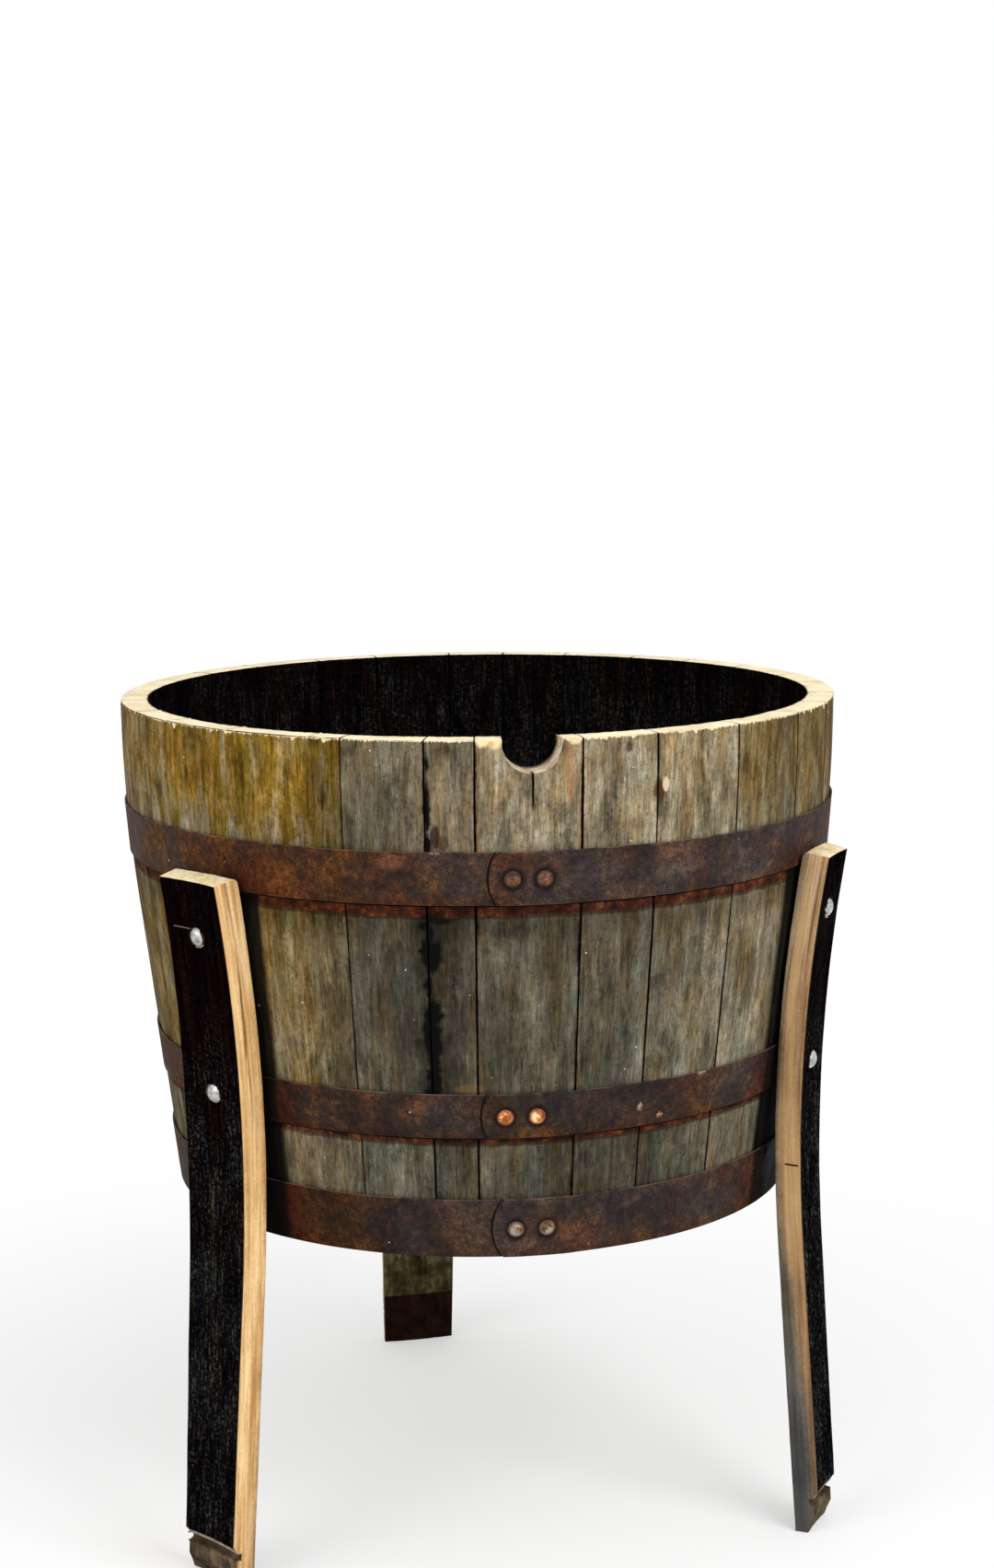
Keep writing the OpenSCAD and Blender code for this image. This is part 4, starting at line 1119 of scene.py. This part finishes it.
# Legs
# Each leg is a stave of such a barrel, cut off 189 mm above its widest place and turned inside out: the charred
# hollow face looks outwards, the weathered face bears on the hoops, and the sawn sides are pale.
leg_spans = {"left_leg": 14.2, "right_leg": 10, "back_leg": 15.4}
leg_above, leg_depth, leg_out, leg_lean = 0.195, 0.325, 0.325245, 3.2
leg_arris, leg_rounding = 0.0012, 0.006
# The round seat for the bolt's head in the hollow face: how far out from the bolt's seat, radius, length
head_seat = (0.0091, 0.0093, 0.02)
# Brown and grey cast of the char. Of the sawn sides: how far old stain reaches in at the top and at the foot,
# the colours, lighter on the left leg and darker on the right partly as painted light and shade from the right,
# where a dark streak runs, how grey they turn downwards, the foot's tint, and a saw nick's depth.
leg_looks = {
    "left_leg": (1.0, 0.75, (-0.002, 0.001), ((178, 132, 78), (212, 170, 114), (240, 206, 154)), 0.0165, 0.0,
                 (170, 128, 94)),
    "right_leg": (0.4, 1.0, (0.003, 0.019), ((130, 98, 66), (164, 131, 95), (194, 162, 124)), 0.0235, 0.9,
                  (58, 59, 60), 0.109),
    "back_leg": (0.6, 0.7, (0.0, 0.006), ((150, 114, 78), (182, 146, 106), (208, 178, 138)), 0.012, 0.3,
                 (112, 84, 54))}


def sawn_side(name, stained, tan, streak_in, dulled, foot_tint, nick=None):
    """Fresh sawn oak: pale and straight-grained, with old stain creeping in from the weathered face."""
    side = Finish(name, roughness=0.75, specular=0.12)
    inside, below = side.mark("inside"), side.mark("below")
    fibre = side.noise(side.grain(900, 24), detail=3, rough=0.6)
    figure = side.noise(side.grain(170, 5), detail=3, warp=0.8)
    patch = side.noise(side.grain(16, 8), detail=4, rough=0.6)
    grit = side.noise(side.spot(), scale=300, detail=3, rough=0.7)
    dark, middle, light = tan
    side.tone = side.ramp(side.weigh((figure, 0.55), (patch, 0.3), (grit, 0.15)),
                          [(0.4, dark), (0.5, middle), (0.6, light)])
    side.lay(side.ease(fibre, 0.34, 0.48, 0.45, 0.0), (140, 102, 60))
    warm = side.noise(side.grain(60, 2), detail=4)
    side.lay(side.ease(warm, 0.54, 0.64, 0.0, 0.35), (214, 170, 112))
    # A dark streak that follows the grain near the top
    wander = side.sum("MULTIPLY_ADD", side.less(patch, 0.5), 0.010, side.times(figure, 0.004))
    streak = side.ease(side.apart(side.plus(inside, wander), streak_in), 0.0003, 0.0022, 0.8, 0.0)
    streak = side.times(streak, side.band(below, -0.17, 0.0, 0.06))
    side.lay(side.times(streak, side.ease(figure, 0.42, 0.56, 1.0, 0.45)), (98, 60, 26))
    # Stain from the weathered face reaches further in towards the foot; the charred edge is thin and black
    reach = side.ease(below, 0.05, 0.4, *stained)
    edge = side.less(side.weigh((inside, 1.0), (patch, 0.016), (grit, 0.003)), reach)
    side.tinge(side.ease(below, 0.0, 0.4, 0.0, dulled), (208, 202, 198))
    grime = side.ramp(side.weigh((figure, 0.4), (patch, 0.45), (grit, 0.15)),
                      [(0.4, (54, 48, 38)), (0.5, (88, 80, 66)), (0.6, (118, 108, 88))])
    slate = side.ramp(side.weigh((figure, 0.3), (patch, 0.55), (grit, 0.15)),
                      [(0.42, (52, 55, 58)), (0.58, (88, 90, 90))])
    grime = side.blend(side.ease(below, 0.15, 0.42, 0.0, dulled), grime, slate)
    side.lay(side.ease(edge, 0.004, 0.0165, 0.94, 0.0), grime)
    char_edge = side.weigh((inside, 1.0), (figure, 0.003))
    side.lay(side.ease(char_edge, wall - 0.0006, wall + 0.0008, 0.0, 0.9), (24, 15, 10))
    foot = side.times(side.ease(below, 0.36, 0.475, 0.0, 0.7), side.ease(patch, 0.4, 0.6, 0.4, 1.0))
    side.lay(foot, foot_tint)
    if nick:
        nicked = side.band(inside, 0.011, 0.023, 0.001)
        side.lay(side.times(side.band(below, nick, nick + 0.0014, 0.0005), nicked), (26, 17, 11))
    return side.done(side.weigh((fibre, 1.0), (figure, 1.0)), 0.0006)


def old_face():
    """The weathered face of a leg, with darker ghosts where the hoops once lay."""
    back = Finish("leg_weathered_face", roughness=0.85, specular=0.04)
    along = back.mark("below")
    fibre = back.noise(back.grain(800, 20), detail=3, rough=0.6)
    streak = back.noise(back.grain(160, 4), detail=4, warp=0.5)
    patch = back.noise(back.grain(50, 40), detail=5, rough=0.7)
    back.tone = back.ramp(back.weigh((streak, 0.25), (patch, 0.75)),
                          [(0.38, (28, 25, 13)), (0.5, (62, 56, 32)), (0.62, (104, 98, 68))])
    ghost = back.band(along, 0.422, 0.52, 0.002)
    for top, wide, _ in hoops.values():
        ghost = back.sum("MAXIMUM", ghost, back.band(along, top, top + wide, 0.0015))
        ghost = back.sum("MAXIMUM", ghost, back.band(along, -top - wide, -top, 0.0015))
    back.lay(back.times(ghost, 0.95), back.ramp(patch, [(0.38, (9, 3, 3)), (0.6, (34, 11, 8))]))
    back.lay(back.ease(fibre, 0.3, 0.5, 0.4, 0.0), (16, 11, 7))
    return back.done(back.plus(fibre, back.times(streak, 0.8)), 0.0012)


def end_grain():
    """Sawn top of a leg: cream, with the year rings as fine dark lines."""
    top = Finish("leg_end_grain", roughness=0.75, specular=0.2)
    cloud = top.noise(top.spot(), scale=50, detail=4)
    rings = top.noise(top.node("Mapping", {"Vector": top.spot(), "Scale": (260, 260, 20)}), detail=2)
    top.tone = top.ramp(cloud, [(0.35, (214, 190, 142)), (0.5, (236, 216, 172)), (0.65, (246, 232, 198))])
    top.lay(top.ease(rings, 0.35, 0.5, 0.35, 0.0), (176, 142, 92))
    return top.done(rings, 0.0004)


leg_back, leg_top = old_face(), end_grain()
weathered_side, charred_side, sawn_edge, chime_end, top_end = range(5)
section = stave_strip("section", leg_above)
for number, (turn, (name, span)) in enumerate(zip(leg_turns, leg_spans.items())):
    leg = turned_stave(section, name + "_stave", 90 - span / 2, span, leg_arris, leg_rounding)
    # It is made like a stave of the barrel and then turned round, leaned and stood at its turn
    stand = (Matrix.Translation((0, axis_y, rim_z)) @ Matrix.Rotation(math.radians(turn - 90), 4, "Z")
             @ Matrix.Translation((leg_out, 0, -leg_depth)) @ Matrix.Rotation(math.radians(leg_lean), 4, "Y")
             @ Matrix.Rotation(math.pi, 4, "Z") @ Matrix.Translation((-rim_r, -axis_y, -rim_z)))
    for seat in bolt_seats:
        place, way = bolt_place(turn, seat, 0.0)
        place, way = stand.inverted() @ place, stand.inverted().to_3x3() @ way
        for out, radius, length in ((0, bolt_hole_r, 0.1), head_seat):
            drill = rod(place + way * out, way, radius, length)
            cut(leg, drill)
            throw_away(drill)
    refine(leg)
    wear(leg, fibre_relief, 0.0005, (1, 1, 18), (0.3 * number, 0.2, 0.1))
    wear(leg, plank_relief, 0.0007, (1, 1, 5), (0.5 * number, 0.1, 0.3))
    mark_grain(leg, 90, span / 2, 0.61 * (number + 1))
    brown, grey, *sides = leg_looks[name]
    charred = toasted_oak(name + "_char", brown, grey, scratch=name == "left_leg")
    for finish in (leg_back, charred, sawn_side(name + "_sawn_side", *sides), stave_finishes[raw], leg_top):
        leg.data.materials.append(finish)
    for face in leg.data.polygons:
        if face.normal.z > 0.6 and face.center.z > rim_z:
            face.material_index = top_end
        elif facing_out(face) > 0.5:
            face.material_index = weathered_side
        elif facing_out(face) < -0.3 or abs(face.normal.z) > 0.6:
            face.material_index = chime_end if face.center.z < end_z + howel_h else charred_side
        else:
            face.material_index = sawn_edge
    leg.matrix_world = stand
    alone(leg)
    bpy.ops.object.transform_apply(location=True, rotation=True)
    # The foot is sawn level with the floor
    work_on(leg)
    bpy.ops.mesh.bisect(plane_co=(0, 0, 0), plane_no=(0, 0, 1), clear_inner=True, use_fill=True,
                        threshold=0.000001)
    lay_down()
    smooth(leg)
    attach(leg, "root")
    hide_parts(name)
throw_away(section)

# Leg bolts
# Two carriage bolts of 8 mm to each leg: a bright zinc dome drawn a little into the char, a square neck that
# keeps it from turning, and a thread that comes out inside the barrel.
bolt_head, bolt_dome, bolt_d, bolt_sunk = 0.018, 0.0045, 0.008, 0.0009
neck_h, threaded, thread_rows, thread_root = 0.005, 0.016, 26, 0.86
bolt_grips = [0.0275164, 0.0313557]
washer_off, washer_t, nut_h, bolt_spare = 0.000311, 0.002, 0.0065, 0.004


def zinc(name, worn):
    """Galvanised steel, a little dull and mottled."""
    metal = Finish(name, roughness=0.36, metallic=0.9, specular=0.5)
    cloud = metal.noise(metal.spot(), scale=210, detail=4, rough=0.65)
    metal.tone = metal.ramp(cloud, [(0.3, (116, 114, 112)), (0.5, (176, 174, 172)), (0.7, (216, 214, 210))])
    return metal.done(cloud, 0.0003, metal.ease(cloud, 0.3, 0.7, worn, worn - 0.2))


bolts = []
for turn in leg_turns:
    for seat, grip in zip(bolt_seats, bolt_grips):
        tail = grip + wall + washer_off + washer_t + nut_h + bolt_spare
        bolt = domed("bolt", bolt_head, bolt_dome, bolt_d, tail - bolt_sunk - threaded, 6)
        work_on(bolt)
        pick("FACE", lambda f: f.normal.z < -0.99 and f.calc_center_median().z < -0.02)
        for row in range(1, thread_rows):
            push(0, 0, -threaded / thread_rows)
            narrow(thread_root if row % 2 else 1 / thread_root)
        push(0, 0, -threaded / thread_rows)
        narrow(0.8)
        lay_down()
        bpy.ops.mesh.primitive_cube_add(size=bolt_d, location=(0, 0, -neck_h / 2),
                                        scale=(1, 1, neck_h / bolt_d))
        neck = bpy.context.object
        work_on(neck)
        bpy.ops.mesh.bevel(offset=0.0006, segments=2)
        lay_down()
        alone(neck)
        bpy.ops.object.transform_apply(location=True, scale=True)
        bolt = joined([bolt, neck], "bolt")
        set_on(bolt, *bolt_place(turn, seat, -bolt_sunk))
        bolts.append(bolt)
bolts = joined(bolts, "carriage_bolts")
bolts.data.materials.append(zinc("zinc_bolt", 0.5))
smooth(bolts, 40)
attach(bolts, "root")
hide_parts("leg_bolts")

# Leg washers and nuts
# Inside the barrel a flat washer spreads each bolt's pull over the stave and a hexagon nut draws it tight.
washer_r, washer_hole_r = 0.012, 0.0043
nut_flat, nut_chamfer_r, nut_bore_r = 0.0065, 0.0075, 0.0041
bpy.ops.mesh.primitive_cylinder_add(vertices=48, radius=washer_r, depth=washer_t)
ring = bpy.context.object
work_on(ring)
pick("FACE", lambda f: abs(f.normal.z) > 0.9)
bpy.ops.mesh.inset(thickness=washer_r - washer_hole_r)
bpy.ops.mesh.delete(type="FACE")
pick("EDGE", lambda e: e.is_boundary)
bpy.ops.mesh.bridge_edge_loops()
close_up()
pick("EDGE", lambda e: e.calc_face_angle(0) > 1)
bpy.ops.mesh.bevel(offset=0.00025, segments=2)
lay_down()
bpy.ops.mesh.primitive_cylinder_add(vertices=6, radius=nut_flat / math.cos(math.pi / 6), depth=nut_h)
nut = bpy.context.object
bpy.ops.mesh.primitive_cylinder_add(vertices=60, radius=nut_chamfer_r, depth=nut_h)
chamfer = bpy.context.object
work_on(chamfer)
pick("EDGE", lambda e: e.calc_face_angle(0) > 1)
bpy.ops.mesh.bevel(offset=0.0009, segments=3)
lay_down()
cut(nut, chamfer, "INTERSECT")
bore = rod(Vector((0, 0, 0)), Vector((0, 0, 1)), nut_bore_r, 0.02)
cut(nut, bore)
throw_away(chamfer, bore)
for pattern, middle, node, name in ((ring, washer_t / 2, "leg_washers", "flat_washers"),
                                    (nut, washer_t + nut_h / 2, "leg_nuts", "hexagon_nuts")):
    made = []
    for turn in leg_turns:
        for seat, grip in zip(bolt_seats, bolt_grips):
            one = twin(pattern, "one")
            set_on(one, *bolt_place(turn, seat, -(grip + wall + washer_off + middle)))
            made.append(one)
    made = joined(made, name)
    made.data.materials.append(zinc("zinc_" + name, 0.6))
    smooth(made, 30)
    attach(made, "root")
    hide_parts(node)
throw_away(ring, nut)

# Floor and light
# A pale studio floor that runs out into a white background, one large soft lamp in front to the right and above,
# and a weaker one to the left.
bpy.ops.mesh.primitive_plane_add(size=30, location=(0, 0, -0.0005))
floor = bpy.context.object
floor.name = "floor"
pale = Finish("pale_floor", roughness=0.9, specular=0.1)
pale.shader.inputs["Base Color"].default_value = (0.92, 0.92, 0.92, 1)
rays = pale.node("LightPath", {}).node
seen = pale.sum("MAXIMUM", rays.outputs["Is Camera Ray"], rays.outputs["Is Glossy Ray"])
white = pale.node("Emission", {"Color": (1, 1, 1, 1), "Strength": 1.0})
whiter = pale.times(seen, pale.ease(pale.away(0.0), 0.35, 1.2, 0.4, 1.0))
mixed = pale.node("MixShader", {0: whiter, 1: pale.shader.outputs[0], 2: white})
pale.tree.links.new(mixed, pale.tree.nodes["Material Output"].inputs["Surface"])
floor.data.materials.append(pale.material)

# The camera sees a plain white behind the floor; the sky that lights the planter is a little weaker
world = bpy.data.worlds.new("studio")
bpy.context.scene.world = world
world.use_nodes = True
sky = world.node_tree
soft = sky.nodes["Background"]
soft.inputs["Color"].default_value, soft.inputs["Strength"].default_value = (1, 1, 1, 1), 0.8
plain = sky.nodes.new("ShaderNodeBackground")
plain.inputs["Color"].default_value, plain.inputs["Strength"].default_value = (1, 1, 1, 1), 1.0
path = sky.nodes.new("ShaderNodeLightPath")
either = sky.nodes.new("ShaderNodeMath")
either.operation = "MAXIMUM"
both = sky.nodes.new("ShaderNodeMixShader")
sky.links.new(path.outputs["Is Camera Ray"], either.inputs[0])
sky.links.new(path.outputs["Is Glossy Ray"], either.inputs[1])
sky.links.new(either.outputs[0], both.inputs[0])
sky.links.new(soft.outputs[0], both.inputs[1])
sky.links.new(plain.outputs[0], both.inputs[2])
sky.links.new(both.outputs[0], sky.nodes["World Output"].inputs["Surface"])

# Place, power and size of the lamps
for place, power, size in (((1.7, -2.3, 2.6), 62, 1.8), ((-2.4, -1.6, 1.9), 30, 2.0)):
    bpy.ops.object.light_add(type="AREA", location=place)
    lamp = bpy.context.object
    lamp.data.energy, lamp.data.size = power, size
    lamp.rotation_euler = (Vector((0, 0, 0.5)) - Vector(place)).to_track_quat("-Z", "Y").to_euler()
bpy.context.scene.view_settings.view_transform = "Standard"
